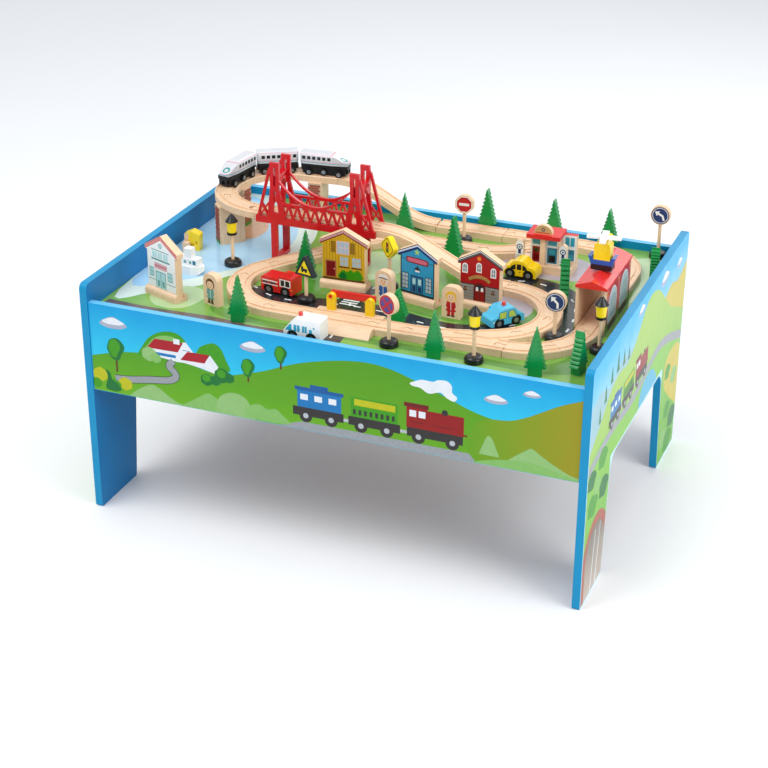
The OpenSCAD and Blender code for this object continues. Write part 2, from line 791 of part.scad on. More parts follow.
module house_base(width) {
    s = plank_t / 2 + 0.3;
    h = base_w / 2;
    l = width + 2 * base_more;
    translate([-l / 2, 0, 0]) run_straight(l)
        polygon(concat([[-h, 0], [h, 0], [h, 3]], arc_points([h - 7, 7], 7, 0, 70, 5), [[s, base_h], [s, slot_z], [-s, slot_z], [-s, base_h]],
            arc_points([7 - h, 7], 7, 110, 180, 5), [[-h, 3]]));
}

module house_fronts() {
    tones = ["white", "goldenrod", "steelblue", "firebrick"];
    for (i = [0:3]) color(tones[i]) at(houses[i][0], houses[i][1]) house_front(houses[i][2], houses[i][3], houses[i][4]);
}

module house_bases() {
    color("burlywood") for (h = houses) at(h[0], h[1]) house_base(h[2]);
}

// ---------- signs, lamps, figures, trees ----------
// place, heading, kind, height of the plate's middle
signs = [
    [[83, -239], -22, "round", 70], [[313, -124], 5, "round", 66], [[380, 268], 0, "round", 78],
    [[48, 206], 5, "octagon", 72], [[3, -34], -35, "diamond", 74], [[-103, -133], -12, "triangle", 60]
];
dome_r = 15;
dome_h = 11;
dowel_r = 3;

module dome_base() {
    difference() {
        rotate_extrude() polygon(concat([[0, 0], [dome_r, 0], [dome_r, 5]], arc_points([dome_r - 6, 5], 6, 10, 80, 5), [[0, dome_h]]));
        translate([0, 0, 3]) cylinder(r = dowel_r + 0.15, h = dome_h);
    }
}

module dowel(top) {
    translate([0, 0, 3]) cylinder(r = dowel_r, h = top - 3);
}

module sign_posts() {
    for (s = signs) at(s[0], s[1]) {
        color("black") dome_base();
        color("burlywood") dowel(s[3] - 12);
    }
}

module plate_outline(kind) {
    if (kind == "round") circle(r = 17);
    if (kind == "octagon") rotate(22.5) circle(r = 17.5, $fn = 8);
    if (kind == "diamond") polygon([for (q = [0:3], k = [0:5]) polar(polar([0, 0], 12, 90 * q), 6.5, 90 * q - 45 + 18 * k)]);
    if (kind == "triangle") polygon([[-19, -14], [19, -14], [2, 19], [-2, 19]]);
}

module sign_plates() {
    color("wheat") for (s = signs) at(s[0], s[1]) difference() {
        translate([0, 5, s[3]]) rotate([90, 0, 0]) linear_extrude(10) plate_outline(s[2]);
        translate([0, 0, s[3] - 25]) cylinder(r = dowel_r + 0.15, h = 13.5);
    }
}

lamps = [[-281, -40], [223, -244], [389, -139]];

module street_lamps() {
    for (p = lamps) at(p) {
        color("black") dome_base();
        color("burlywood") dowel(56);
        translate([0, 0, 56]) {
            color("black") cylinder(r = 8.5, h = 4);
            color("yellow") translate([0, 0, 4]) rotate_extrude() polygon([[0, 0], [7.5, 0], [9, 19], [0, 19]]);
            color("black") translate([0, 0, 23]) rotate_extrude() polygon([[0, 0], [11, 0], [11, 1], [8, 5], [3, 12], [0, 14]]);
        }
    }
}

figures = [[[-237, -200], -20], [[15, -83], -14], [[137, -101], -4]];

module figure_blocks() {
    r = 16;
    h = 54;
    color("wheat") for (f = figures) at(f[0], f[1]) translate([0, 6.5, 0]) rotate([90, 0, 0]) linear_extrude(13)
        polygon(concat([[-r, 0], [r, 0]], arc_points([r - 12, h - 12], 12, 0, 90, 6), arc_points([12 - r, h - 12], 12, 90, 180, 6)));
}

// place, heading and height of each fir
firs = [
    [[-172, -243], 14, tree_h], [[162, -252], 12, tree_h], [[322, -252], 12, tree_h], [[380, -221], 78, tree_h - 8],
    [[285, 22], 104, tree_h], [[395, 182], 100, 52], [[-150, -30], 15, tree_h], [[63, -150], -4, 55],
    [[-62, 201], 16, tree_h], [[56, 130], -8, tree_h], [[66, 279], 0, tree_h], [[189, 279], 0, tree_h - 2],
    [[289, 279], 0, tree_h - 6]
];
tiers = 7;

function fir_half(h) =
    let (z0 = 13, step = (h - 4 - z0) / tiers)
    concat([[11, 0], [11, z0]], [for (i = [0:tiers - 1], k = [0, 1])
        let (w = 17 - 14 * i / tiers) k == 0 ? [w, z0 + step * i + 1] : [w - 3.4, z0 + step * (i + 1)]], [[2, h]]);

module trees() {
    color("green") for (f = firs) {
        half = fir_half(f[2]);
        n = len(half);
        at(f[0], f[1]) translate([0, 7.5, 0]) rotate([90, 0, 0]) linear_extrude(15)
            polygon(concat(half, [for (i = [n - 1:-1:0]) [-half[i][0], half[i][1]]]));
    }
}

// ---------- harbour: a boat and a boathouse with a crate ----------
module harbour_toys() {
    color("white") at([-331, -95], -6) {
        intersection() {
            translate([0, 15, 0]) rotate([90, 0, 0]) linear_extrude(30)
                polygon(concat([[-26, 0], [12, 0]], arc_points([12, 14], 14, -75, -15, 5), [[26, 15], [-34, 15]]));
            linear_extrude(30) polygon([[-34, -12], [6, -14], [18, -9], [26, 0], [18, 9], [6, 14], [-34, 12]]);
        }
        translate([-24, -9, 15]) cube([40, 18, 12]);
        translate([-10, -7, 27]) cube([14, 14, 17]);
    }
    at([-376, 0], 8) {
        color("gold") translate([0, 9, 0]) rotate([90, 0, 0]) linear_extrude(18)
            polygon([[-13, 0], [13, 0], [14, 29], [0, 35], [-14, 29]]);
        color("burlywood") translate([-13, -22, 0]) cube([11, 11, 18]);
    }
}

end_panel_left();
end_panel_right();
front_apron();
back_apron();
play_board();
board_rails();
corner_bolts();
straight_tracks();
curved_tracks();
turnout_tracks();
crossing_track();
raised_tracks();
ramp_tracks();
brick_piers();
bridge_sides();
bridge_portals();
gate_posts();
gate_arm();
lead_engine_body();
lead_engine_chassis();
lead_engine_magnet();
lead_engine_axle_1();
lead_engine_axle_2();
lead_engine_axle_3();
coach_body();
coach_chassis();
coach_magnets();
coach_axle_1();
coach_axle_2();
tail_engine_body();
tail_engine_chassis();
tail_engine_magnet();
tail_engine_axle_1();
tail_engine_axle_2();
tail_engine_axle_3();
ambulance_body();
ambulance_axle_1();
ambulance_axle_2();
fire_truck_body();
fire_truck_axle_1();
fire_truck_axle_2();
police_car_body();
police_car_axle_1();
police_car_axle_2();
taxi_body();
taxi_axle_1();
taxi_axle_2();
helicopter_body();
helicopter_rotor();
shed_walls();
shed_roof();
fuel_station();
house_fronts();
house_bases();
sign_posts();
sign_plates();
street_lamps();
figure_blocks();
trees();
harbour_toys();
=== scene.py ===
import math

import bmesh
import bpy
from mathutils import Matrix, Vector


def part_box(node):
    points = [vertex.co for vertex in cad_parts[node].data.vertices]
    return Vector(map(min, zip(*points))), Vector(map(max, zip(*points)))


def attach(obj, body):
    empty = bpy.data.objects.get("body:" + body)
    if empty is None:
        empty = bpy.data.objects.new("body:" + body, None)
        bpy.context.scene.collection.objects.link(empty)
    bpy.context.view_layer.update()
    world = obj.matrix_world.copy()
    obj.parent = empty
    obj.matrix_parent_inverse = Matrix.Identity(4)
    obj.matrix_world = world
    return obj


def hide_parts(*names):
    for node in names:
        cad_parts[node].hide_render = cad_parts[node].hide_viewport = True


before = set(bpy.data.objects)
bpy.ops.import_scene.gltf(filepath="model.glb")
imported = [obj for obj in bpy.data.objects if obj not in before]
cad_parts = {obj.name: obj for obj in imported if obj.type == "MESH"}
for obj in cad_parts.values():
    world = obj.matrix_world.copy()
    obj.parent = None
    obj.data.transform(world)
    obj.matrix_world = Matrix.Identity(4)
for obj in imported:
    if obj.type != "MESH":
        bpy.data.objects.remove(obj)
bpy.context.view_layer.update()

# ---- Camera ----
# A short telephoto view from the front right, a little above the table.
EYE = Vector((0.98706, -2.53046, 1.52390))
TURN, TILT, ROLL = -0.3787, 0.4622, 0.0041
ahead = Vector((math.sin(TURN) * math.cos(TILT), math.cos(TURN) * math.cos(TILT), -math.sin(TILT)))
side = ahead.cross(Vector((0, 0, 1))).normalized()
over = side.cross(ahead)
across = math.cos(ROLL) * side + math.sin(ROLL) * over
upward = math.cos(ROLL) * over - math.sin(ROLL) * side
lens = bpy.data.cameras.new("camera")
lens.lens, lens.sensor_width, lens.clip_end = 82.88, 36, 20
camera = bpy.data.objects.new("camera", lens)
camera.matrix_world = Matrix.Translation(EYE) @ Matrix((across, upward, -ahead)).transposed().to_4x4()
bpy.context.collection.objects.link(camera)
bpy.context.scene.camera = camera

# ---- End panels ----
# Two arched end panels of 13 mm fibreboard, sawn and painted blue on the
# inside and on the edges. Each outer face carries a printed landscape,
# laid on as paper and varnished.


def ink(code):
    """A colour's sRGB hex code as linear red, green, blue and alpha."""
    parts = [int(code[i:i + 2], 16) / 255 for i in (0, 2, 4)]
    return tuple(c / 12.92 if c <= 0.04045 else ((c + 0.055) / 1.055) ** 2.4 for c in parts) + (1.0,)


def put(tree, kind, settings=None, **inputs):
    """Adds a node; an input named i0, i1 ... is given by its number, and may be a value or another node's output."""
    node = tree.nodes.new(kind)
    for key, value in (settings or {}).items():
        setattr(node, key, value)
    for key, value in inputs.items():
        socket = node.inputs[int(key[1:])] if key[0] == "i" and key[1:].isdigit() else node.inputs[key.replace("_", " ")]
        if isinstance(value, bpy.types.NodeSocket):
            tree.links.new(value, socket)
        else:
            socket.default_value = value
    return node


def mottled(light, dark, mm=25):
    """Two close tones in soft patches of the given size."""
    def colour(tree, place):
        patch = put(tree, "ShaderNodeTexNoise", Vector=place, Scale=1000 / mm, Detail=3.0).outputs[0]
        return put(tree, "ShaderNodeMix", {"data_type": "RGBA"}, i0=patch, i6=ink(dark), i7=ink(light)).outputs[2]
    return colour


def graded(axis, low, high, first, last):
    """One tone running into another along an axis, from low to high in mm, with a printer's faint unevenness."""
    def colour(tree, place):
        along = put(tree, "ShaderNodeSeparateXYZ", i0=place).outputs["XYZ".index(axis)]
        part = put(tree, "ShaderNodeMapRange", i0=along, i1=low / 1000, i2=high / 1000).outputs[0]
        patch = put(tree, "ShaderNodeTexNoise", Vector=place, Scale=30.0, Detail=2.0).outputs[0]
        uneven = put(tree, "ShaderNodeMath", {"operation": "MULTIPLY_ADD"}, i0=patch, i1=0.3, i2=part).outputs[0]
        shifted = put(tree, "ShaderNodeMath", {"operation": "SUBTRACT"}, i0=uneven, i1=0.15).outputs[0]
        return put(tree, "ShaderNodeMix", {"data_type": "RGBA"}, i0=shifted, i6=ink(first), i7=ink(last)).outputs[2]
    return colour


def inside(tree, value, low, high):
    """1 where a length in metres is between low and high, given in mm."""
    above = put(tree, "ShaderNodeMath", {"operation": "GREATER_THAN"}, i0=value, i1=low / 1000).outputs[0]
    below = put(tree, "ShaderNodeMath", {"operation": "LESS_THAN"}, i0=value, i1=high / 1000).outputs[0]
    return put(tree, "ShaderNodeMath", {"operation": "MULTIPLY"}, i0=above, i1=below).outputs[0]


def only_on(axis, low, high, there, elsewhere):
    """One colour where the coordinate's size is between low and high mm, and another one elsewhere."""
    def colour(tree, place):
        along = put(tree, "ShaderNodeSeparateXYZ", i0=place).outputs["XYZ".index(axis)]
        size = put(tree, "ShaderNodeMath", {"operation": "ABSOLUTE"}, i0=along).outputs[0]
        mask = inside(tree, size, low, high)
        return put(tree, "ShaderNodeMix", {"data_type": "RGBA"}, i0=mask, i6=elsewhere(tree, place), i7=there(tree, place)).outputs[2]
    return colour


def coated(name, colour, rough=0.35, coat=0.0, grain_mm=0.8, grain=0.05, metal=0.0, shine=0.35):
    """A finished surface: its colour, a slightly uneven gloss and the fine texture of what lies under it."""
    material = bpy.data.materials.new(name)
    material.use_nodes = True
    tree = material.node_tree
    tree.nodes.clear()
    place = put(tree, "ShaderNodeTexCoord").outputs["Object"]
    fine = put(tree, "ShaderNodeTexNoise", Vector=place, Scale=1000 / grain_mm, Detail=2.0).outputs[0]
    smear = put(tree, "ShaderNodeTexNoise", Vector=place, Scale=45.0, Detail=2.0).outputs[0]
    gloss = put(tree, "ShaderNodeMapRange", i0=smear, i3=rough - 0.06, i4=rough + 0.08).outputs[0]
    relief = put(tree, "ShaderNodeBump", Strength=grain, Distance=0.0003, Height=fine).outputs[0]
    shader = put(tree, "ShaderNodeBsdfPrincipled", Base_Color=colour(tree, place), Roughness=gloss, Normal=relief,
                 Metallic=metal, Specular_IOR_Level=shine, Coat_Weight=coat, Coat_Roughness=0.12)
    put(tree, "ShaderNodeOutputMaterial", Surface=shader.outputs[0])
    return material


def dress(material, *nodes):
    """Gives frame parts their finish."""
    for node in nodes:
        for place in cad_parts[node].material_slots:
            place.material = material


def wall(place, heading, out, base):
    """A standing face that looks along its own -Y: u runs along it and v up it, in mm."""
    c, s = math.cos(math.radians(heading)), math.sin(math.radians(heading))

    def spot(u, v, proud):
        y = -(out + proud)
        return ((place[0] + c * u - s * y) / 1000, (place[1] + s * u + c * y) / 1000, (base + v) / 1000)
    return spot


def box(u0, v0, u1, v1):
    return [(u0, v0), (u1, v0), (u1, v1), (u0, v1)]


def disc(u, v, r, tall=None, n=20):
    return [(u + r * math.cos(math.tau * i / n), v + (tall or r) * math.sin(math.tau * i / n)) for i in range(n)]


def smooth(points, closed=True, steps=5):
    """A soft line through the given points."""
    n = len(points)
    line = []
    for i in range(n if closed else n - 1):
        a, b, c, d = [points[j % n] if closed else points[min(max(j, 0), n - 1)] for j in (i - 1, i, i + 1, i + 2)]
        for k in range(steps):
            t = k / steps
            line.append(tuple(0.5 * (2 * q + (r - p) * t + (2 * p - 5 * q + 4 * r - s) * t * t + (3 * q - p - 3 * r + s) * t ** 3)
                              for p, q, r, s in zip(a, b, c, d)))
    return line if closed else line + [points[-1]]


def hill(points, base):
    line = smooth(points, closed=False)
    return [(line[0][0], base)] + line + [(line[-1][0], base)]


def strip(points, width, steps=5):
    """A band of even width along a soft line."""
    line = smooth(points, closed=False, steps=steps)
    left, right = [], []
    for i, (u, v) in enumerate(line):
        (a, b), (c, d) = line[max(i - 1, 0)], line[min(i + 1, len(line) - 1)]
        size = math.hypot(c - a, d - b) or 1
        left.append((u - (d - b) / size * width / 2, v + (c - a) / size * width / 2))
        right.append((u + (d - b) / size * width / 2, v - (c - a) / size * width / 2))
    return left + right[::-1]


def cut_to(shape, limits):
    """What is left of a shape inside a convex outline that runs anticlockwise."""
    for (ax, ay), (bx, by) in zip(limits, limits[1:] + limits[:1]):
        kept = []
        for p, q in zip(shape, shape[1:] + shape[:1]):
            at_p, at_q = [(bx - ax) * (w[1] - ay) - (by - ay) * (w[0] - ax) for w in (p, q)]
            if at_p >= 0:
                kept.append(p)
            if at_p * at_q < 0:
                t = at_p / (at_p - at_q)
                kept.append((p[0] + t * (q[0] - p[0]), p[1] + t * (q[1] - p[1])))
        shape = kept
        if not shape:
            break
    return shape


INK_STEP = 0.035


def stacked(art):
    """Each shape with how many shapes lie under it, so that no two films share a plane where they cross."""
    laid = []
    for _, _, outline, tone in sorted(((layer, i, outline, tone) for i, (layer, tone, outline) in enumerate(art) if len(outline) > 2),
            key=lambda shape: shape[:2]):
        us, vs = zip(*outline)
        room = (min(us), min(vs), max(us), max(vs))
        under = [level for level, r, _, _ in laid if r[0] < room[2] and room[0] < r[2] and r[1] < room[3] and room[1] < r[3]]
        laid.append((max(under, default=-1) + 1, room, outline, tone))
    return laid


def printed(name, body, slot, sides):
    """Lays coloured shapes on faces as thin films. sides is a list of (spot, art), and art of (layer, ink, outline)."""
    work = bmesh.new()
    inks = []
    for spot, art in sides:
        for level, _, outline, tone in stacked(art):
            if tone not in inks:
                inks.append(tone)
            top = [work.verts.new(spot(u, v, 0.05 + INK_STEP * level)) for u, v in outline]
            low = [work.verts.new(spot(u, v, -0.04)) for u, v in outline]
            faces = [work.faces.new(top), work.faces.new(low[::-1])]
            n = len(top)
            faces += [work.faces.new((top[i], low[i], low[(i + 1) % n], top[(i + 1) % n])) for i in range(n)]
            for face in faces:
                face.material_index = inks.index(tone)
    bmesh.ops.recalc_face_normals(work, faces=work.faces[:])
    bmesh.ops.triangulate(work, faces=work.faces[:])
    mesh = bpy.data.meshes.new(name)
    work.to_mesh(mesh)
    work.free()
    for tone in inks:
        mesh.materials.append(tone)
    piece = bpy.data.objects.new(name, mesh)
    bpy.context.collection.objects.link(piece)
    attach(piece, body)
    return piece


def clouds(layer, u, v, w):
    """A small cloud: a grey underside with a white top over it."""
    puff = [(-0.5, -0.06), (-0.28, 0.12), (0, 0.22), (0.3, 0.1), (0.5, -0.05), (0.2, -0.18), (-0.25, -0.18)]
    return [(layer, cloud_shade, smooth([(u + a * w, v + b * w) for a, b in puff])),
            (layer + 1, cloud_white, smooth([(u + a * w * 0.82, v + w * 0.06 + b * w * 0.6) for a, b in puff]))]


def leafy(layer, u, foot, crown, w, tall):
    """A printed tree: a trunk, a dark crown with small lobes and a lighter side."""
    lobes = [(u + math.cos(t) * w / 2 * (0.72 + 0.28 * math.cos(t * 0.5 - 0.8)) * (1 + 0.1 * (k % 2)), crown + math.sin(t) * tall / 2)
             for k, t in enumerate([math.tau * i / 14 for i in range(14)])]
    lit = [(u - w * 0.08 + (a - u) * 0.68, b + tall * 0.04 + (b - crown) * -0.18) for a, b in lobes]
    return [(layer, bark_ink, box(u - 1.6, foot, u + 1.6, crown)), (layer + 1, leaf_dark, smooth(lobes)), (layer + 2, leaf_green,
        smooth(lit))]


def carriage(layer, u, v, length, scale, wheels, tone):
    """The printed underframe of a carriage with its wheels and hubs."""
    art = [(layer, tone, box(u, v, u + length, v + 15 * scale))]
    for w in wheels:
        art += [(layer, tone, disc(u + w, v, 11 * scale)), (layer + 1, hub_ink, disc(u + w, v + 0.5, 4.6 * scale))]
    return art


def small_train(layer, u, v, scale):
    """The printed train: a blue coach, a green wagon with a yellow board and a red engine. It carries no lettering."""
    def at(a, b, c, d):
        return box(u + a * scale, v + b * scale, u + c * scale, v + d * scale)
    art = carriage(layer, u, v, 86 * scale, scale, [22 * scale, 65 * scale], frame_ink)
    art += carriage(layer, u + 94 * scale, v, 86 * scale, scale, [21 * scale, 64 * scale], frame_ink)
    art += carriage(layer, u + 191 * scale, v, 91 * scale, scale, [19 * scale, 74 * scale], frame_ink)
    art += [(layer, hub_ink, at(86, 3, 94, 8)), (layer, hub_ink, at(180, 3, 191, 8)),
            (layer, coach_blue, at(8, 15, 82, 46)), (layer + 1, coach_deep, at(4, 44, 86, 50)), (layer + 1, coach_deep, at(30, 50, 60, 56)),
            (layer, leaf_green, at(98, 15, 176, 49)), (layer + 1, sun_yellow, at(104, 35, 172, 46)),
            (layer, engine_red, at(190, 15, 224, 53)), (layer + 1, engine_deep, at(186, 50, 226, 57)), (layer, engine_red,
            at(224, 15, 283, 48)),
            (layer + 1, frame_ink, disc(u + 252 * scale, v + 50 * scale, 5 * scale)), (layer, engine_deep, at(283, 16, 289, 19)),
            (layer + 1, engine_deep, at(232, 24, 267, 25.5)), (layer + 1, engine_deep, at(197, 24, 219, 25.5))]
    art += [(layer + 1, cloud_white, at(a, 28, a + 13, 38)) for a in (13, 37, 61)]
    art += [(layer + 1, frame_ink, at(102 + 9.2 * i, 19, 106.5 + 9.2 * i, 28)) for i in range(8)]
    art += [(layer + 1, cloud_white, at(a, 34, a + 11, 45)) for a in (195, 210)]
    return art


# Printed inks under a satin varnish: even, slightly soft tones on a faintly fibrous paper.
cloud_shade = coated("grey_cloud_ink", mottled("A9AFC0", "979EB4", 8))
cloud_white = coated("white_cloud_ink", mottled("E7E9EC", "CDD6E1", 8))
bark_ink = coated("brown_bark_ink", mottled("673400", "482204", 3))
leaf_dark = coated("dark_leaf_ink", mottled("00752A", "005F24", 5))
leaf_green = coated("green_leaf_ink", mottled("439A00", "2A8800", 6))
leaf_pale = coated("pale_leaf_ink", mottled("88B763", "6FAB58", 10))
sun_yellow = coated("yellow_ink", mottled("BCBD00", "ABAB00", 8))
frame_ink = coated("black_frame_ink", mottled("322D2C", "232021", 8))
hub_ink = coated("grey_hub_ink", mottled("BBC2C8", "9DA4AC", 4))
coach_blue = coated("blue_coach_ink", mottled("0076B7", "0067A7", 10))
coach_deep = coated("deep_blue_ink", mottled("00579B", "004B8B", 10))
engine_red = coated("red_engine_ink", mottled("940000", "810000", 10))
engine_deep = coated("deep_red_ink", mottled("720008", "5F0006", 6))
rail_ink = coated("grey_rail_ink", mottled("9A9FA4", "848A8F", 6))
# Blue nitrocellulose paint on fibreboard, sprayed: even, with a soft sheen and a trace of fibre.
board_blue = mottled("0890C2", "0784B4", 60)
panel_sky = graded("Z", 270, 395, "B4DCE6", "12A8E0")
# The inner faces, 411 to 412 mm out, get a darker copy of the same blue: painted shade for the shade under the table.
# The edges keep the plain blue.
dress(coated("printed_panel_sky", only_on("X", 424.9, 426, panel_sky, only_on("X", 411, 412.1, mottled("0072B0", "006AA4", 60),
    board_blue)), rough=0.33, shine=0.25),
      "end_panel_left", "end_panel_right")

meadow_pale = coated("pale_meadow_ink", graded("Z", 200, 390, "88B747", "9EBF50"))
meadow_mid = coated("meadow_ink", graded("Z", 40, 260, "64AD25", "7DB939"))
mist_blue = coated("misty_hill_ink", mottled("95BAC4", "80ADBC", 40))
corn_yellow = coated("corn_field_ink", mottled("C8B940", "BCAB28", 30))
pond_blue = coated("pond_ink", mottled("58B0CD", "38A3C8", 20))
tunnel_brick = coated("tunnel_brick_ink", mottled("AB5C49", "9C4837", 5))
tunnel_dark = coated("tunnel_shade_ink", graded("Z", 0, 130, "BEAEA0", "656157"))

near_leg = [(-298, 3), (-184, 3), (-168, 168), (-168, 404), (-298, 404)]
far_leg = [(184, 3), (298, 3), (298, 404), (168, 404), (168, 168)]
top_board = [(-298, 204), (298, 204), (298, 404), (-298, 404)]


def over_panel(layer, tone, shape):
    """A shape that runs over the panel's top board and down both of its legs."""
    return [(layer, tone, cut_to(shape, part)) for part in (near_leg, far_leg)] + \
        [(layer, tone, cut_to(cut_to(shape, top_board), [(-168, 0), (168, 0), (168, 408), (-168, 408)]))]


landscape = over_panel(0, mist_blue, hill([(-298, 345), (-250, 352), (-200, 338), (-140, 352), (-60, 345), (60, 352), (180, 345), (298,
    352)], -1))
landscape += over_panel(1, corn_yellow, hill([(90, 300), (140, 338), (190, 352), (240, 340), (298, 356)], -1))
landscape += over_panel(2, meadow_pale, hill([(-298, 268), (-240, 300), (-190, 328), (-140, 336), (-90, 330), (-40, 352), (10, 384), (50,
    391), (100, 376), (150, 340), (200, 306), (250, 286), (298, 262)], -1))
landscape += over_panel(3, meadow_mid, hill([(-298, 246), (-240, 262), (-180, 252), (-100, 246), (0, 258), (80, 250), (150, 262), (220,
    246), (298, 225)], -1))
landscape += over_panel(4, corn_yellow, smooth([(186, 200), (230, 214), (298, 190), (310, 80), (270, 95), (220, 130), (188, 160)]))
landscape += over_panel(4, rail_ink, strip([(-298, 238), (-230, 246), (-150, 250), (-60, 244), (20, 250), (110, 262), (190, 250), (298,
    214)], 16))
landscape += over_panel(5, pond_blue, smooth([(0, 205), (12, 232), (50, 244), (90, 238), (118, 212), (122, 190), (0, 190)]))
landscape += small_train(6, -192, 262, 0.83)
landscape += clouds(1, -20, 391, 40) + clouds(1, 135, 384, 56) + clouds(4, 240, 372, 40)
for u, v, tall in ((-222, 322, 30), (-190, 340, 30), (-156, 344, 34), (-120, 340, 28), (-90, 336, 24), (-250, 300, 26)):
    landscape.append((4, leaf_dark, [(u - tall * 0.26, v), (u + tall * 0.26, v), (u + tall * 0.12, v + tall * 0.4), (u + tall * 0.18,
        v + tall * 0.4), (u, v + tall),
                                     (u - tall * 0.18, v + tall * 0.4), (u - tall * 0.12, v + tall * 0.4)]))
for u, v, w, tone in ((-275, 215, 46, leaf_dark), (-215, 225, 50, leaf_green), (-262, 165, 54, leaf_green), (-200, 168, 52, leaf_dark),
        (-240, 190, 40, leaf_pale),
                      (210, 178, 40, leaf_green), (262, 150, 44, leaf_pale), (228, 96, 46, leaf_green), (272, 64, 56, leaf_dark), (214, 44,
                      50, leaf_pale), (252, 24, 60, leaf_green)):
    blob = smooth([(u + w * 0.5 * math.cos(t) * (1 + 0.12 * math.cos(5 * t)),
        v + w * 0.36 * math.sin(t) * (1 + 0.12 * math.sin(4 * t))) for t in [math.tau * i / 16 for i in range(16)]], steps=3)
    landscape += over_panel(6, tone, blob)
for layer, tone, r in ((7, tunnel_brick, 70), (8, tunnel_dark, 53)):
    arch = [(-232 + r * math.cos(t), 66 + r * math.sin(t)) for t in [math.pi * i / 24 for i in range(25)]]
    landscape.append((layer, tone, cut_to(arch + [(-232 - r, 3), (-232 + r, 3)], near_leg)))
for gap in (-250, -222):
    landscape.append((9, cloud_white, cut_to([(gap, 3), (gap + 5, 3), (gap + 18, 108), (gap + 16, 108)], near_leg)))
printed("right_panel_landscape", "table", "panel_print", [(lambda u, v, d: ((425 + d) / 1000, u / 1000, v / 1000), landscape)])
printed("left_panel_landscape", "table", "panel_print", [(lambda u, v, d: ((-425 - d) / 1000, -u / 1000, v / 1000), landscape)])

# ---- Aprons ----
# Two 12 mm fibreboard aprons screwed between the end panels, painted blue.
# Their top face is given a lighter blue: painted light, for the light falling
# on it from above. The printed strip outside shows a farm, a train on
# its line and a hill.
# The top face at z 377 mm gets a lighter copy of the blue: painted light from above, on the same paint.
apron_top_painted_light = only_on("Z", 376.9, 378, mottled("6FBFE6", "5DB2DC", 30), board_blue)
dress(coated("printed_apron_sky", only_on("Y", 298.9, 300, graded("Z", 285, 377, "2CC0E4", "0698D2"), apron_top_painted_light), rough=0.3, shine=0.25),
    "front_apron", "back_apron")
hill_green = coated("hill_ink", graded("Z", 225, 350, "5D9E00", "4D9200"))
hill_front = coated("front_hill_ink", graded("Z", 225, 305, "62A500", "499400"))
hill_olive = coated("olive_hill_ink", graded("X", 240, 400, "5E9700", "908B00"))
hill_olive_back = coated("olive_hill_ink_back", graded("X", -240, -400, "5E9700", "908B00"))
roof_ink = coated("roof_ink", mottled("AB001C", "960019", 8))
mist_leaf = coated("misty_leaf_ink", mottled("93BA78", "7CAF63", 12))


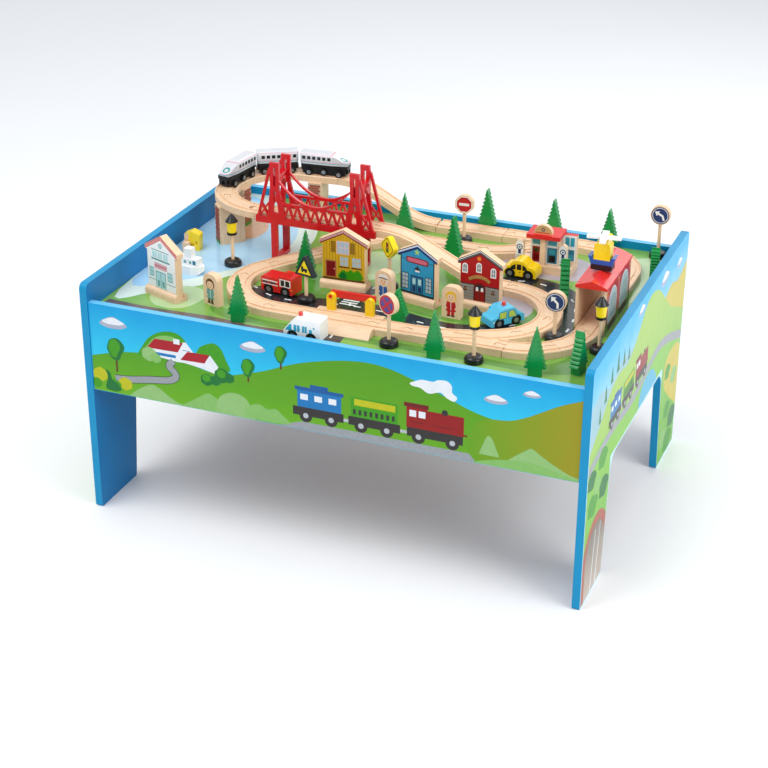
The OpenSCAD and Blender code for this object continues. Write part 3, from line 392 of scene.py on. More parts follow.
def farm_strip(olive):
    """The apron's print, u along the table from the left and v up from the floor."""
    base = 222.6
    art = [(0, hill_green, hill([(-190, 288), (-160, 294), (-130, 303), (-100, 313), (-60, 330), (-20, 343), (30, 354), (72, 358), (110,
        354), (150, 342), (200, 324), (240, 309), (270, 302), (300, 296)], base)),
           (1, hill_front, hill([(-411, 284), (-380, 293), (-345, 301), (-305, 305), (-270, 303), (-235, 300), (-205, 294), (-170, 289),
           (-120, 280), (-60, 262), (0, 245), (60, 232), (100, 223)], base)),
           (2, olive, hill([(236, 250), (246, 288), (268, 300), (300, 304), (325, 314), (350, 328), (380, 345), (411, 358)], base)),
           (2, rail_ink, [(-78, base), (-40, 236), (238, 236), (250, base)])]
    art += [(2, leaf_green, smooth([(-322, 300), (-316, 318), (-304, 334), (-286, 346), (-264, 351), (-246, 346), (-234, 330), (-228, 306),
        (-270, 302)])),
            (3, leaf_pale, smooth([(-312, 304), (-306, 322), (-290, 338), (-266, 343), (-250, 336), (-240, 308)])),
            (2, leaf_green, smooth([(-222, 306), (-216, 330), (-202, 340), (-188, 344), (-176, 336), (-168, 318), (-162, 300), (-190,
            296)])),
            (4, cloud_white, [(-302, 318), (-256, 319), (-244, 336), (-238, 337), (-226, 322), (-232, 301), (-254, 300), (-300, 304)]),
            (5, roof_ink, [(-309, 316), (-253, 317), (-243, 335), (-294, 334)]),
            (5, coach_blue, box(-293, 306, -257, 311)),
            (5, cloud_white, box(-260, 331, -249, 340)),
            (5, cloud_white, [(-250, 306), (-206, 307), (-196, 322), (-182, 304), (-188, 291), (-214, 297), (-246, 301)]),
            (6, roof_ink, [(-249, 305), (-206, 306), (-197, 322), (-236, 321)]),
            (6, coach_deep, box(-244, 322, -231, 323))]
    art += [(3, frame_ink, strip([(-262, 300), (-270, 290), (-261, 280), (-259, 272), (-272, 264), (-305, 259), (-345, 252), (-370, 250)],
        13.4)),
            (4, rail_ink, strip([(-262, 300), (-270, 290), (-261, 280), (-259, 272), (-272, 264), (-305, 259), (-345, 252), (-370, 250)],
            11.4))]
    for u, v, w, tone in ((-203, 278, 22, leaf_dark), (-188, 279, 18, leaf_dark), (-176, 290, 26, leaf_dark), (-164, 288, 18, leaf_dark),
            (-204, 281, 14, leaf_green), (-177, 293, 15, leaf_green),
                          (-305, 305, 26, mist_leaf), (-293, 300, 18, leaf_pale), (-398, 252, 26, sun_yellow), (-352, 243, 24, sun_yellow),
                          (-372, 236, 24, leaf_green), (-405, 236, 18, leaf_green)):
        art.append((6, tone, smooth([(u + w / 2 * math.cos(t) * (1 + 0.08 * (i % 2)),
            v + w * 0.46 * math.sin(t) * (1 + 0.08 * (i % 2))) for i, t in enumerate([math.tau * k / 12 for k in range(12)])], steps=3)))
    art += [(7, leaf_dark, smooth([(-388, 228), (-384, 250), (-388, 262), (-380, 258), (-376, 246), (-366, 240), (-362, 228)])),
            (3, mist_leaf, hill([(-345, 224), (-325, 240), (-305, 250), (-290, 246), (-272, 234), (-255, 226), (-235, 223)], base)),
            (3, leaf_pale, hill([(-250, 224), (-225, 240), (-203, 254), (-188, 248), (-165, 236), (-150, 224)], base)),
            (4, mist_leaf, hill([(-190, 223), (-183, 250), (-165, 262), (-145, 262), (-130, 250), (-118, 223)], base)),
            (5, leaf_pale, smooth([(-132, 226), (-128, 246), (-112, 252), (-98, 246), (-84, 249), (-72, 240), (-62, 226)])),
            (3, mist_leaf, hill([(254, 240), (262, 262), (267, 272), (274, 268), (280, 254), (286, 240)], 239)),
            (3, mist_leaf, hill([(290, 228), (310, 246), (326, 258), (336, 264), (350, 256), (370, 244), (395, 232), (411, 228)], base)),
            (4, leaf_pale, hill([(244, 223), (280, 234), (330, 240), (370, 234), (411, 223)], base)),
            (3, cloud_white, smooth([(141, 337), (150, 342), (160, 346), (178, 346), (186, 350), (200, 351), (208, 344), (209, 333), (217,
            326), (212, 319), (200, 323), (190, 330), (172, 325), (158, 332), (146, 333)]))]
    art += leafy(5, -366, 262, 302, 32, 40) + leafy(4, -130, 288, 312, 24, 32) + leafy(4, -73, 320, 345, 22, 30)
    return art + clouds(1, -368, 348, 50) + clouds(1, -121, 350, 45) + clouds(1, 278, 335, 38) + clouds(1, 333, 354, 28) + small_train(6,
        -54, 247, 1.0)


printed("front_farm_print", "table", "apron_print", [(lambda u, v, d: (u / 1000, (-299 - d) / 1000, v / 1000), farm_strip(hill_olive))])
printed("back_farm_print", "table", "apron_print", [(lambda u, v, d: (-u / 1000, (299 + d) / 1000, v / 1000), farm_strip(hill_olive_back))])

# ---- Play board ----
# A 9 mm fibreboard sheet on pine rails, with a varnished print of grass,
# a road, a river and paving on its top face. The underside is raw board.
BOARD_TOP = 363
raw_board = mottled("B58F68", "A07C58", 12)
dress(coated("printed_grass_board", only_on("Z", 362.9, 364, mottled("86B851", "6BA23E", 55), raw_board), rough=0.22, coat=0.5, grain=0.02),
    "play_board")
road_black = coated("road_ink", mottled("2E3134", "222528", 14), rough=0.22, coat=0.5)
road_white = coated("road_line_ink", mottled("F1F3F2", "DDE2E2", 10), rough=0.22, coat=0.5)
kerb_brown = coated("front_road_ink", mottled("6A5A55", "554844", 18), rough=0.22, coat=0.5)
river_blue = coated("river_ink", mottled("B4DAF0", "97C9E8", 45), rough=0.18, coat=0.6)
bank_pale = coated("river_bank_ink", mottled("DDEBE4", "C9DED0", 30), rough=0.22, coat=0.5)
sand_tan = coated("sand_ink", mottled("DDB08A", "CC9B74", 20), rough=0.25, coat=0.5)
lawn_dark = coated("dark_lawn_ink", mottled("5C9A36", "4A852C", 25), rough=0.22, coat=0.5)
lawn_pale = coated("pale_lawn_ink", mottled("B9D3A0", "A3C68C", 25), rough=0.22, coat=0.5)
paving_grey = coated("paving_ink", mottled("B3ADB6", "A19BA5", 16), rough=0.22, coat=0.5)

loop_road = [(-205, -112), (-160, -136), (-100, -138), (-40, -124), (30, -126), (90, -140), (150, -146), (206, -128), (236, -96)]
cross_road = [(-10, -286), (-12, -240), (-18, -180), (-30, -128), (-40, -80), (-20, -40)]
east_road = [(160, 60), (205, 80), (256, 68), (298, 30), (318, -30), (322, -90), (312, -120)]
front_road = [(-405, -262), (-320, -266), (-220, -262), (-140, -268), (-70, -264), (-10, -268)]
board_art = [(1, bank_pale, smooth([(-408, 268), (-330, 262), (-250, 230), (-212, 160), (-196, 90), (-204, 20), (-232, -40), (-268, -90),
    (-300, -150), (-352, -196), (-408, -206)])),
             (2, river_blue, smooth([(-408, 244), (-340, 236), (-274, 196), (-238, 130), (-226, 60), (-240, 0), (-276, -60), (-330, -130),
             (-408, -160)])),
             (3, sand_tan, smooth([(-362, 190), (-322, 176), (-296, 130), (-300, 86), (-326, 70), (-352, 96), (-366, 140)])),
             (2, lawn_pale, smooth([(-330, -160), (-290, -150), (-262, -180), (-276, -232), (-320, -240), (-350, -205)])),
             (1, lawn_dark, smooth([(-236, -204), (-140, -226), (-60, -222), (60, -226), (180, -222), (290, -228), (340, -200), (360, -140),
             (372, -60), (388, -140), (380, -220), (320, -246), (180, -244), (-60, -246), (-200, -240)])),
             (1, lawn_dark, disc(-132, -92, 68, 66, 28)), (2, lawn_pale,
             smooth([(-92, 98), (-40, 110), (0, 70), (-20, 10), (-60, -20), (-96, 20)])),
             (1, lawn_dark, smooth([(24, -88), (90, -112), (150, -118), (176, -96), (120, -60), (40, -56)])),
             (1, lawn_dark, disc(200, -60, 76, 78, 28)), (3, paving_grey,
             smooth([(196, -84), (236, -74), (250, -36), (232, 4), (196, 14), (176, -20)])),
             (2, paving_grey, smooth([(150, 108), (280, 112), (284, 190), (230, 212), (150, 196)])),
             (2, lawn_pale, smooth([(270, 214), (330, 236), (392, 262), (396, 180), (388, 60), (376, 120), (350, 190)])),
             (4, kerb_brown, strip(front_road, 34)), (4, road_black, strip(cross_road, 40)), (5, road_black, strip(loop_road, 42)), (4,
             road_black, strip(east_road, 42))]
board_art += [(6, road_white, box(-50, -122 + 8 * i, -22, -118 + 8 * i)) for i in range(5)]
board_top = lambda u, v, d: (u / 1000, v / 1000, (BOARD_TOP + d) / 1000)
printed("board_map", "table", "board_print", [(board_top, board_art)])


def dashes_tree():
    """Dashes of a given length and width, set evenly along a path at a given spacing."""
    tree = bpy.data.node_groups.new("road_dashes", "GeometryNodeTree")
    tree.interface.new_socket("Path", in_out="INPUT", socket_type="NodeSocketGeometry")
    for label, value in (("Spacing", 0.038), ("Length", 0.012), ("Width", 0.0035), ("Thickness", 0.0001)):
        tree.interface.new_socket(label, in_out="INPUT", socket_type="NodeSocketFloat").default_value = value
    tree.interface.new_socket("Ink", in_out="INPUT", socket_type="NodeSocketMaterial")
    tree.interface.new_socket("Dashes", in_out="OUTPUT", socket_type="NodeSocketGeometry")
    given = put(tree, "NodeGroupInput").outputs
    curve = put(tree, "GeometryNodeMeshToCurve", i0=given["Path"]).outputs[0]
    spots = put(tree, "GeometryNodeCurveToPoints", {"mode": "LENGTH"}, Curve=curve, Length=given["Spacing"])
    size = put(tree, "ShaderNodeCombineXYZ", i0=given["Length"], i1=given["Width"], i2=given["Thickness"]).outputs[0]
    dash = put(tree, "GeometryNodeMeshCube", Size=size).outputs[0]
    turn = put(tree, "FunctionNodeAlignEulerToVector", {"axis": "X", "pivot_axis": "Z"}, Vector=spots.outputs["Tangent"]).outputs[0]
    laid = put(tree, "GeometryNodeInstanceOnPoints", Points=spots.outputs[0], Instance=dash, Rotation=turn).outputs[0]
    solid = put(tree, "GeometryNodeRealizeInstances", i0=laid).outputs[0]
    inked = put(tree, "GeometryNodeSetMaterial", Geometry=solid, Material=given["Ink"]).outputs[0]
    put(tree, "NodeGroupOutput", i0=inked)
    return tree


def settle(piece, tree, body, slot, **values):
    """Runs a geometry tree on a piece, keeps the result as a plain mesh and gives it to its body."""
    modifier = piece.modifiers.new(tree.name, "NODES")
    modifier.node_group = tree
    names = {item.name.replace(" ", "_"): item.identifier for item in tree.interface.items_tree if item.in_out == "INPUT"}
    for key, value in values.items():
        modifier[names[key]] = value
    bpy.context.collection.objects.link(piece)
    made = bpy.data.meshes.new_from_object(piece.evaluated_get(bpy.context.evaluated_depsgraph_get()))
    piece.modifiers.clear()
    piece.data = made
    made.name = piece.name
    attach(piece, body)


road_dashes = dashes_tree()
for name, road in (("loop_road_dashes", loop_road), ("cross_road_dashes", cross_road), ("east_road_dashes", east_road),
        ("front_road_dashes", front_road)):
    line = smooth(road, closed=False)
    path = bpy.data.meshes.new(name)
    path.from_pydata([(u / 1000, v / 1000, 0.36344) for u, v in line], [(i, i + 1) for i in range(len(line) - 1)], [])
    settle(bpy.data.objects.new(name, path), road_dashes, "table", "board_print", Ink=road_white)

# ---- Rails and bolts under the board ----
# Pine rails carry the board on the inside of the aprons, and zinc bolts
# pull the aprons to the end panels.


def grained(light, dark, along="X", mm=3.0, fleck=None):
    """Bare or oiled wood: streaks that run along one axis, with short darker flecks where the wood has them."""
    def colour(tree, place):
        stretch = {"X": (0.09, 1, 1), "Y": (1, 0.09, 1), "Z": (1, 1, 0.09)}[along]
        run = put(tree, "ShaderNodeMapping", Vector=place, Scale=stretch).outputs[0]
        streak = put(tree, "ShaderNodeTexNoise", Vector=run, Scale=1000 / mm, Detail=4.0, Distortion=0.3).outputs[0]
        wood = put(tree, "ShaderNodeMix", {"data_type": "RGBA"}, i0=streak, i6=ink(dark), i7=ink(light)).outputs[2]
        if not fleck:
            return wood
        cell = put(tree, "ShaderNodeTexVoronoi", Vector=run, Scale=420.0).outputs[0]
        spot = put(tree, "ShaderNodeMapRange", i0=cell, i1=0.12, i2=0.28, i3=0.45, i4=0.0).outputs[0]
        return put(tree, "ShaderNodeMix", {"data_type": "RGBA"}, i0=spot, i6=wood, i7=ink(fleck)).outputs[2]
    return colour


dress(coated("sawn_pine", grained("E3C08E", "C99C66", "X", 5), rough=0.6, grain=0.25), "board_rails")
dress(coated("zinc_plated_steel", mottled("C9CCD0", "A9ADB2", 3), rough=0.32, metal=1.0, grain=0.1), "corner_bolts")

# ---- Tracks ----
# Beech track, milled with two wheel grooves and a peg and socket on each
# piece, sanded and left with a thin satin lacquer. Beech is pale pink-tan
# with short brown flecks.
beech_x = grained("EFD3B4", "DDB58C", "X", 3.5, "BC8A60")
beech_z = grained("EFD3B4", "DFB990", "Z", 3.5, "BC8A60")
beech = coated("lacquered_beech", beech_x, rough=0.42, coat=0.08, grain_mm=0.5, grain=0.15)
dress(beech, "straight_tracks", "curved_tracks", "turnout_tracks", "crossing_track", "raised_tracks", "ramp_tracks", "house_bases")

# ---- Brick piers ----
# Three beech blocks carry the raised loop. Brick courses are printed on
# their end faces and a bush at the foot.
dress(coated("beech_block", beech_z, rough=0.45, grain=0.15), "brick_piers")
LOOP = (-262, 127)
mortar_ink = coated("mortar_ink", mottled("C9B7A2", "B5A28D", 6), rough=0.4)
brick_ink = coated("brick_ink", mottled("A9543C", "8C3F2C", 5), rough=0.4)
bush_ink = coated("bush_ink", mottled("3F9A35", "2F7F2B", 4), rough=0.4)


def brick_tree():
    """Courses of bricks on a standing face, every other course shifted by half a brick."""
    tree = bpy.data.node_groups.new("brick_courses", "GeometryNodeTree")
    for label, value in (("Brick length", 0.0068), ("Brick height", 0.0044), ("Joint", 0.0007), ("Heading", 0.0)):
        tree.interface.new_socket(label, in_out="INPUT", socket_type="NodeSocketFloat").default_value = value
    for label, value in (("Bricks in a course", 3), ("Courses", 14)):
        tree.interface.new_socket(label, in_out="INPUT", socket_type="NodeSocketInt").default_value = value
    tree.interface.new_socket("Middle", in_out="INPUT", socket_type="NodeSocketVector")
    tree.interface.new_socket("Ink", in_out="INPUT", socket_type="NodeSocketMaterial")
    tree.interface.new_socket("Wall", in_out="OUTPUT", socket_type="NodeSocketGeometry")
    given = put(tree, "NodeGroupInput").outputs
    gaps_across = put(tree, "ShaderNodeMath", {"operation": "SUBTRACT"}, i0=given["Bricks in a course"], i1=1.0).outputs[0]
    wide = put(tree, "ShaderNodeMath", {"operation": "MULTIPLY"}, i0=given["Brick length"], i1=gaps_across).outputs[0]
    gaps_up = put(tree, "ShaderNodeMath", {"operation": "SUBTRACT"}, i0=given["Courses"], i1=1.0).outputs[0]
    tall = put(tree, "ShaderNodeMath", {"operation": "MULTIPLY"}, i0=given["Brick height"], i1=gaps_up).outputs[0]
    grid = put(tree, "GeometryNodeMeshGrid", Size_X=wide, Size_Y=tall, Vertices_X=given["Bricks in a course"],
               Vertices_Y=given["Courses"]).outputs[0]
    row = put(tree, "ShaderNodeSeparateXYZ", i0=put(tree, "GeometryNodeInputPosition").outputs[0]).outputs[1]
    rows_up = put(tree, "ShaderNodeMath", {"operation": "DIVIDE"}, i0=row, i1=given["Brick height"]).outputs[0]
    course = put(tree, "ShaderNodeMath", {"operation": "ROUND"}, i0=rows_up, i1=0.0).outputs[0]
    parity = put(tree, "ShaderNodeMath", {"operation": "FLOORED_MODULO"}, i0=course, i1=2.0).outputs[0]
    odd = put(tree, "ShaderNodeMath", {"operation": "SUBTRACT"}, i0=parity, i1=0.5).outputs[0]
    half_brick = put(tree, "ShaderNodeMath", {"operation": "MULTIPLY"}, i0=given["Brick length"], i1=0.5).outputs[0]
    offset = put(tree, "ShaderNodeMath", {"operation": "MULTIPLY"}, i0=odd, i1=half_brick).outputs[0]
    shift = put(tree, "ShaderNodeCombineXYZ", i0=offset).outputs[0]
    moved = put(tree, "GeometryNodeSetPosition", Geometry=grid, Offset=shift).outputs[0]
    long = put(tree, "ShaderNodeMath", {"operation": "SUBTRACT"}, i0=given["Brick length"], i1=given["Joint"]).outputs[0]
    high = put(tree, "ShaderNodeMath", {"operation": "SUBTRACT"}, i0=given["Brick height"], i1=given["Joint"]).outputs[0]
    size = put(tree, "ShaderNodeCombineXYZ", i0=long, i1=high, i2=0.0004).outputs[0]
    laid = put(tree, "GeometryNodeInstanceOnPoints", Points=moved, Instance=put(tree, "GeometryNodeMeshCube",
        Size=size).outputs[0]).outputs[0]
    solid = put(tree, "GeometryNodeRealizeInstances", i0=laid).outputs[0]
    turn = put(tree, "ShaderNodeCombineXYZ", i0=math.pi / 2, i1=0.0, i2=given["Heading"]).outputs[0]
    stood = put(tree, "GeometryNodeTransform", Geometry=solid, Translation=given["Middle"], Rotation=turn).outputs[0]
    put(tree, "NodeGroupOutput", i0=put(tree, "GeometryNodeSetMaterial", Geometry=stood, Material=given["Ink"]).outputs[0])
    return tree


brick_courses = brick_tree()
piers = [((LOOP[0] + 100 * math.cos(math.radians(a)), LOOP[1] + 100 * math.sin(math.radians(a))), a) for a in (225, 172)] + [((-240, 228),
    95.3)]
for number, (place, heading) in enumerate(piers, 1):
    for turn, label in ((90, "outer"), (-90, "inner")):
        face = wall(place, heading + turn, 23, BOARD_TOP)
        printed(f"pier_{number}_{label}_mortar", "table", "brick_print",
                [(face, [(0, mortar_ink, box(-11.6, 1, 11.6, 69)), (9, bush_ink,
                smooth([(-11, 1), (-10, 10), (-4, 14), (2, 9), (8, 13), (11, 1)]))])])
        bricks = bpy.data.objects.new(f"pier_{number}_{label}_bricks", bpy.data.meshes.new("bricks"))
        settle(bricks, brick_courses, "table", "brick_print", Heading=math.radians(heading + turn), Middle=face(0, 36, 0.2), Ink=brick_ink)

# ---- Suspension bridge ----
# Two moulded red side frames with towers and stay rods, joined by portals
# and ties. Glossy ABS.
bridge_red = coated("glossy_red_abs", mottled("D4121F", "BE0A18", 40), rough=0.24, coat=0.3, grain_mm=2, grain=0.02)
dress(bridge_red, "bridge_sides", "bridge_portals")

# ---- Level crossing gate ----
# Yellow lacquered beech posts and a red arm that lifts about its pin.
dress(coated("yellow_lacquer", mottled("F6CF12", "E8BC08", 12), rough=0.28, coat=0.3), "gate_posts")
dress(coated("red_lacquer", mottled("D9281F", "C41C18", 12), rough=0.28, coat=0.3), "gate_arm")

# ---- High-speed train ----
# White moulded bodies on black chassis, held together by magnets. Dark
# windows, fine lines of colour and a ring on each nose are printed.


def train_paint(name, place, heading, nose):
    """White body, with the bands set in the car's own frame."""
    def colour(tree, spot):
        own = put(tree, "ShaderNodeMapping", {"vector_type": "TEXTURE"}, Vector=spot, Location=(place[0] / 1000, place[1] / 1000, 0.445),
                  Rotation=(0, 0, math.radians(heading))).outputs[0]
        x, y, z = put(tree, "ShaderNodeSeparateXYZ", i0=own).outputs
        body = mottled("D6D8DC", "C4C7CC", 20)(tree, spot)
        for low, high, tone in ((22.4, 23.6, "3FA4B4"), (24.6, 25.4, "D8849A"), (37.4, 38.2, "D89AA6")):
            body = put(tree, "ShaderNodeMix", {"data_type": "RGBA"}, i0=inside(tree, z, low, high), i6=body, i7=ink(tone)).outputs[2]
        if nose:
            flat = put(tree, "ShaderNodeCombineXYZ", i0=x, i1=y).outputs[0]
            reach = put(tree, "ShaderNodeVectorMath", {"operation": "DISTANCE"}, i0=flat, i1=(0.034, 0, 0)).outputs["Value"]
            badge = inside(tree, reach, 3.6, 6.6)
            body = put(tree, "ShaderNodeMix", {"data_type": "RGBA"}, i0=badge, i6=body, i7=ink("1F8C8A")).outputs[2]
        return body
    return coated(name, colour, rough=0.2, coat=0.4, grain_mm=3, grain=0.02)


window_black = coated("window_print", mottled("1C1F23", "121417", 4), rough=0.15, coat=0.4)
hub_silver = coated("silver_hub_print", mottled("D5D9DD", "B4B9BF", 2), rough=0.28, metal=0.8)
hub_dark = coated("hub_ring_print", mottled("4A4D50", "36393C", 2), rough=0.35)
LEAD = ((LOOP[0] + 96.0 * math.cos(math.radians(173)), LOOP[1] + 96.0 * math.sin(math.radians(173))), 263)
COACH = ((LOOP[0] + 97.08 * math.cos(math.radians(121)), LOOP[1] + 97.08 * math.sin(math.radians(121))), 211)
TAIL = ((-225.4, 230.8), 5.3)
for car, (place, heading), nose in (("lead_engine", LEAD, True), ("coach", COACH, False), ("tail_engine", TAIL, True)):
    dress(train_paint(f"{car}_white_abs", place, heading, nose), f"{car}_body")
    dress(coated(f"{car}_black_abs", mottled("1A1B1E", "101113", 10), rough=0.45), f"{car}_chassis")
    first = -40 if nose else -33
    count = 6 if nose else 7
    sides = []
    for flip in (1, -1):
        art = [(1, window_black, [(flip * u, v) for u, v in box(first + 9.4 * i, 28.4, first + 9.4 * i + 6, 34.4)]) for i in range(count)]
        sides.append((wall(place, heading if flip > 0 else heading + 180, 14, 445), art[:count]))
    printed(f"{car}_windows", car, "train_white", sides)
steel = coated("nickel_plated_magnet", mottled("C4C6C8", "9EA1A4", 2), rough=0.3, metal=1.0)
dress(steel, "lead_engine_magnet", "coach_magnets", "tail_engine_magnet")
tyre_black = coated("black_moulded_wheel", mottled("17181A", "0E0F10", 4), rough=0.45, grain=0.1)
dress(tyre_black, *[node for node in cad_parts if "_axle_" in node])


def hub_art(u, v, r):
    return [(1, hub_silver, disc(u, v, r)), (2, hub_dark, disc(u, v, r * 0.62)), (3, hub_silver, disc(u, v, r * 0.36, n=12))]


for car, (place, heading), spots in (("lead_engine", LEAD, (28, 0, -28)), ("coach", COACH, (24, -24)), ("tail_engine", TAIL, (28, 0, -28))):
    for number in range(1, len(spots) + 1):
        low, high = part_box(f"{car}_axle_{number}")
        middle = [(a + b) * 500 for a, b in zip(low, high)]
        sides = [(wall((middle[0], middle[1]), heading + turn, 15.5, middle[2]), hub_art(0, 0, 3.4)) for turn in (0, 180)]
        printed(f"{car}_hubs_{number}", f"{car}_axle_{number}", "train_wheel", sides)

# ---- Road vehicles ----
# Four lacquered beech cars on black moulded wheels with silver hubs.
# Windows, lamps and trim are pad printed on both sides.


def lamp_topped(light, dark, top, tone):
    """Car lacquer, with the beacon above the roof in a second colour."""
    def colour(tree, place):
        z = put(tree, "ShaderNodeSeparateXYZ", i0=place).outputs[2]
        return put(tree, "ShaderNodeMix", {"data_type": "RGBA"}, i0=inside(tree, z, 363 + top, 500), i6=mottled(light, dark, 15)(tree,
            place), i7=ink(tone)).outputs[2]
    return colour


glass_teal = coated("teal_window_print", mottled("37A9C2", "2591AC", 5), rough=0.2, coat=0.4)
glass_lime = coated("lime_window_print", mottled("BFD65A", "A4C048", 5), rough=0.2, coat=0.4)
trim_white = coated("white_trim_print", mottled("F4F1EF", "E0DCD9", 5), rough=0.25, coat=0.3)
trim_teal = coated("teal_trim_print", mottled("2F8FA8", "237C95", 5), rough=0.25, coat=0.3)
trim_red = coated("red_trim_print", mottled("C9252B", "B01B22", 5), rough=0.25, coat=0.3)
lamp_orange = coated("orange_lamp_print", mottled("F08A2C", "E07A1E", 3), rough=0.25, coat=0.3)
cars = {
    "ambulance": ((-46, -263), 178, lamp_topped("F6F6F4", "E8E8E6", 37.7, "D8342C"), "ambulance_white",
                  [(1, glass_teal, [(17, 16), (28, 16), (25, 21), (20, 27), (17, 27)]), (1, glass_teal, box(3, 16, 13.5, 27)), (1,
                  glass_teal, box(-9, 16, -1, 27)),
                   (1, glass_teal, box(-18, 17, -13, 23)), (1, glass_teal, disc(-21, 26, 1.6)), (2, trim_white, box(7.6, 16, 8.6, 27)), (2,
                   trim_white, box(-5.4, 16, -4.6, 27))]),
    "fire_truck": ((-156, -114), -8, lamp_topped("D8231E", "C41814", 34.2, "E23A22"), "fire_red",
                   [(1, trim_white, box(6, 17, 27, 30)), (2, window_black, [(17, 18.5), (25.5, 18.5), (24.5, 28.5), (17, 28.5)]), (2,
                   window_black, box(8, 18.5, 15, 28.5)),
                    (1, trim_white, box(-28, 22, 2, 24)), (1, trim_white, box(-28, 16, 2, 17.4)), (1, hub_dark, box(-27, 18, -16, 21.4)),
                    (1, hub_dark, box(-13, 18, -2, 21.4)), (1, lamp_orange, disc(28.6, 14, 1.6))]),
    "police_car": ((219, -94), 52, lamp_topped("56C3E6", "3FB2D9", 31.2, "D8342C"), "police_blue",
                   [(1, trim_teal, [(0, 14.6), (17.6, 14.6), (12, 27.4), (0, 27.4)]), (2, glass_lime,
                   [(2, 16), (15, 16), (10.6, 26), (2, 26)]),
                    (1, trim_teal, box(-17, 14.6, -2, 27.4)), (2, glass_lime, box(-15.4, 16, -3.6, 26)), (1, trim_white,
                    box(-27, 10.4, -25, 13)), (1, trim_teal, box(3, 11, 7, 12))]),
    "taxi": ((188, 101), 178, mottled("FBD70F", "F0C60A", 15), "taxi_yellow",
             [(1, window_black, [(6, 16), (17, 16), (13, 22), (6, 26)]), (1, window_black, box(-4, 16, 4, 26)), (1, window_black,
             [(-6, 16), (-15, 16), (-12, 22), (-6, 26)]),
              (1, window_black, box(-3, 11.6, 0, 12.6)), (1, trim_white, disc(27, 13, 1.6))]),
}
for car, (place, heading, paint, slot, art) in cars.items():
    dress(coated(f"{car}_lacquer", paint, rough=0.24, coat=0.4, grain_mm=1.5, grain=0.03), f"{car}_body")
    flipped = [(layer, tone, [(-u, v) for u, v in outline]) for layer, tone, outline in art]
    printed(f"{car}_side_prints", car, slot, [(wall(place, heading, 15, BOARD_TOP), art), (wall(place, heading + 180, 15, BOARD_TOP),
        flipped)])
    for number in (1, 2):
        low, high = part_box(f"{car}_axle_{number}")
        middle = [(a + b) * 500 for a, b in zip(low, high)]
        sides = [(wall((middle[0], middle[1]), heading + turn, 15, middle[2]), hub_art(0, 0, 3.9)) for turn in (0, 180)]
        printed(f"{car}_hubs_{number}", f"{car}_axle_{number}", "road_wheel", sides)

# ---- Helicopter ----
# Lacquered blocks glued together on the shed's ridge: a black foot, a blue
# landing cradle, a yellow cabin with a ball, and a white rotor on a pin.


def helicopter_paint(tree, place):
    x, y, z = put(tree, "ShaderNodeSeparateXYZ", i0=place).outputs
    yellow, blue, black = mottled("FBD90F", "EFC80A", 10)(tree, place), ink("1F56A8"), ink("17191C")
    cabin = put(tree, "ShaderNodeMath", {"operation": "MULTIPLY"}, i0=inside(tree, x, 344.7, 371.3), i1=inside(tree, z, 470,
        600)).outputs[0]
    tail = inside(tree, y, -15.6, 60)
    gold = put(tree, "ShaderNodeMath", {"operation": "MAXIMUM"}, i0=cabin, i1=tail).outputs[0]
    upper = put(tree, "ShaderNodeMix", {"data_type": "RGBA"}, i0=gold, i6=blue, i7=yellow).outputs[2]
    return put(tree, "ShaderNodeMix", {"data_type": "RGBA"}, i0=inside(tree, z, 400, 462), i6=upper, i7=black).outputs[2]


dress(coated("helicopter_lacquer", helicopter_paint, rough=0.26, coat=0.35), "helicopter_body")
dress(coated("white_rotor_lacquer", mottled("F5F5F3", "E4E4E2", 10), rough=0.28, coat=0.3), "helicopter_rotor")
cabin_art = [(1, trim_teal, box(-10, 29, -1.5, 41)), (1, trim_teal, box(1.5, 29, 10, 41)), (2, window_black, box(-9, 30, -2.5, 40)), (2,
    window_black, box(2.5, 30, 9, 40))]
printed("helicopter_windows", "table", "helicopter_paint", [(wall((358, -26), 180, 10, 453), cabin_art)])

# ---- Engine shed ----
# Two beech walls over the track under a red ridged roof. Each outer wall
# is printed with red frames round two arched lattice windows, and plants.
dress(coated("beech_ply_wall", beech_z, rough=0.45, grain=0.12), "shed_walls")
dress(coated("red_roof_lacquer", mottled("E3302A", "CF2320", 30), rough=0.26, coat=0.35), "shed_roof")
frame_red = coated("shed_red_print", mottled("BF2530", "A61B27", 12), rough=0.35)
glass_grey = coated("shed_glass_print", mottled("C4D2D3", "A7B9BC", 10), rough=0.25)
lead_grey = coated("lattice_print", mottled("7F8C8E", "6B7779", 5), rough=0.4)
plant_olive = coated("shed_plant_print", mottled("7F9A2C", "5C7A22", 4), rough=0.4)
plinth_dark = coated("shed_plinth_print", mottled("54271F", "3E1B16", 8), rough=0.4)


def arch(u, v, w, tall):
    return [(u - w / 2, v), (u + w / 2, v)] + [(u + w / 2 * math.cos(t),
        v + tall - w / 2 + w / 2 * math.sin(t)) for t in [math.pi * i / 12 for i in range(13)]]


shed_art = [(1, frame_red, box(-81, 1, 63, 76.5)), (2, plinth_dark, box(-81, 1, 63, 13))]
for u in (-44, 26):
    shed_art += [(3, trim_white, arch(u, 15, 50, 56)), (4, glass_grey, arch(u, 17, 46, 52))]
    shed_art += [(5, lead_grey, box(u - 0.6 + k, 17.5, u + 0.6 + k, 60 - abs(k) * 0.5)) for k in (-15, -7.5, 0, 7.5, 15)]
    shed_art += [(5, lead_grey, box(u - 21, v, u + 21, v + 1)) for v in (25, 34, 43, 52)]
for u in (-76, -9, 57):
    shed_art += [(3, trim_white, box(u - 4, 13, u - 3, 76)), (3, trim_white, box(u + 3, 13, u + 4, 76)), (6, lamp_orange,
        disc(u, 69, 4.4, 3.2))]
    shed_art += [(6, plant_olive, smooth([(u - 10, 2), (u - 9, 12), (u - 4, 20), (u, 14), (u + 5, 22), (u + 9, 11), (u + 10, 2)]))]
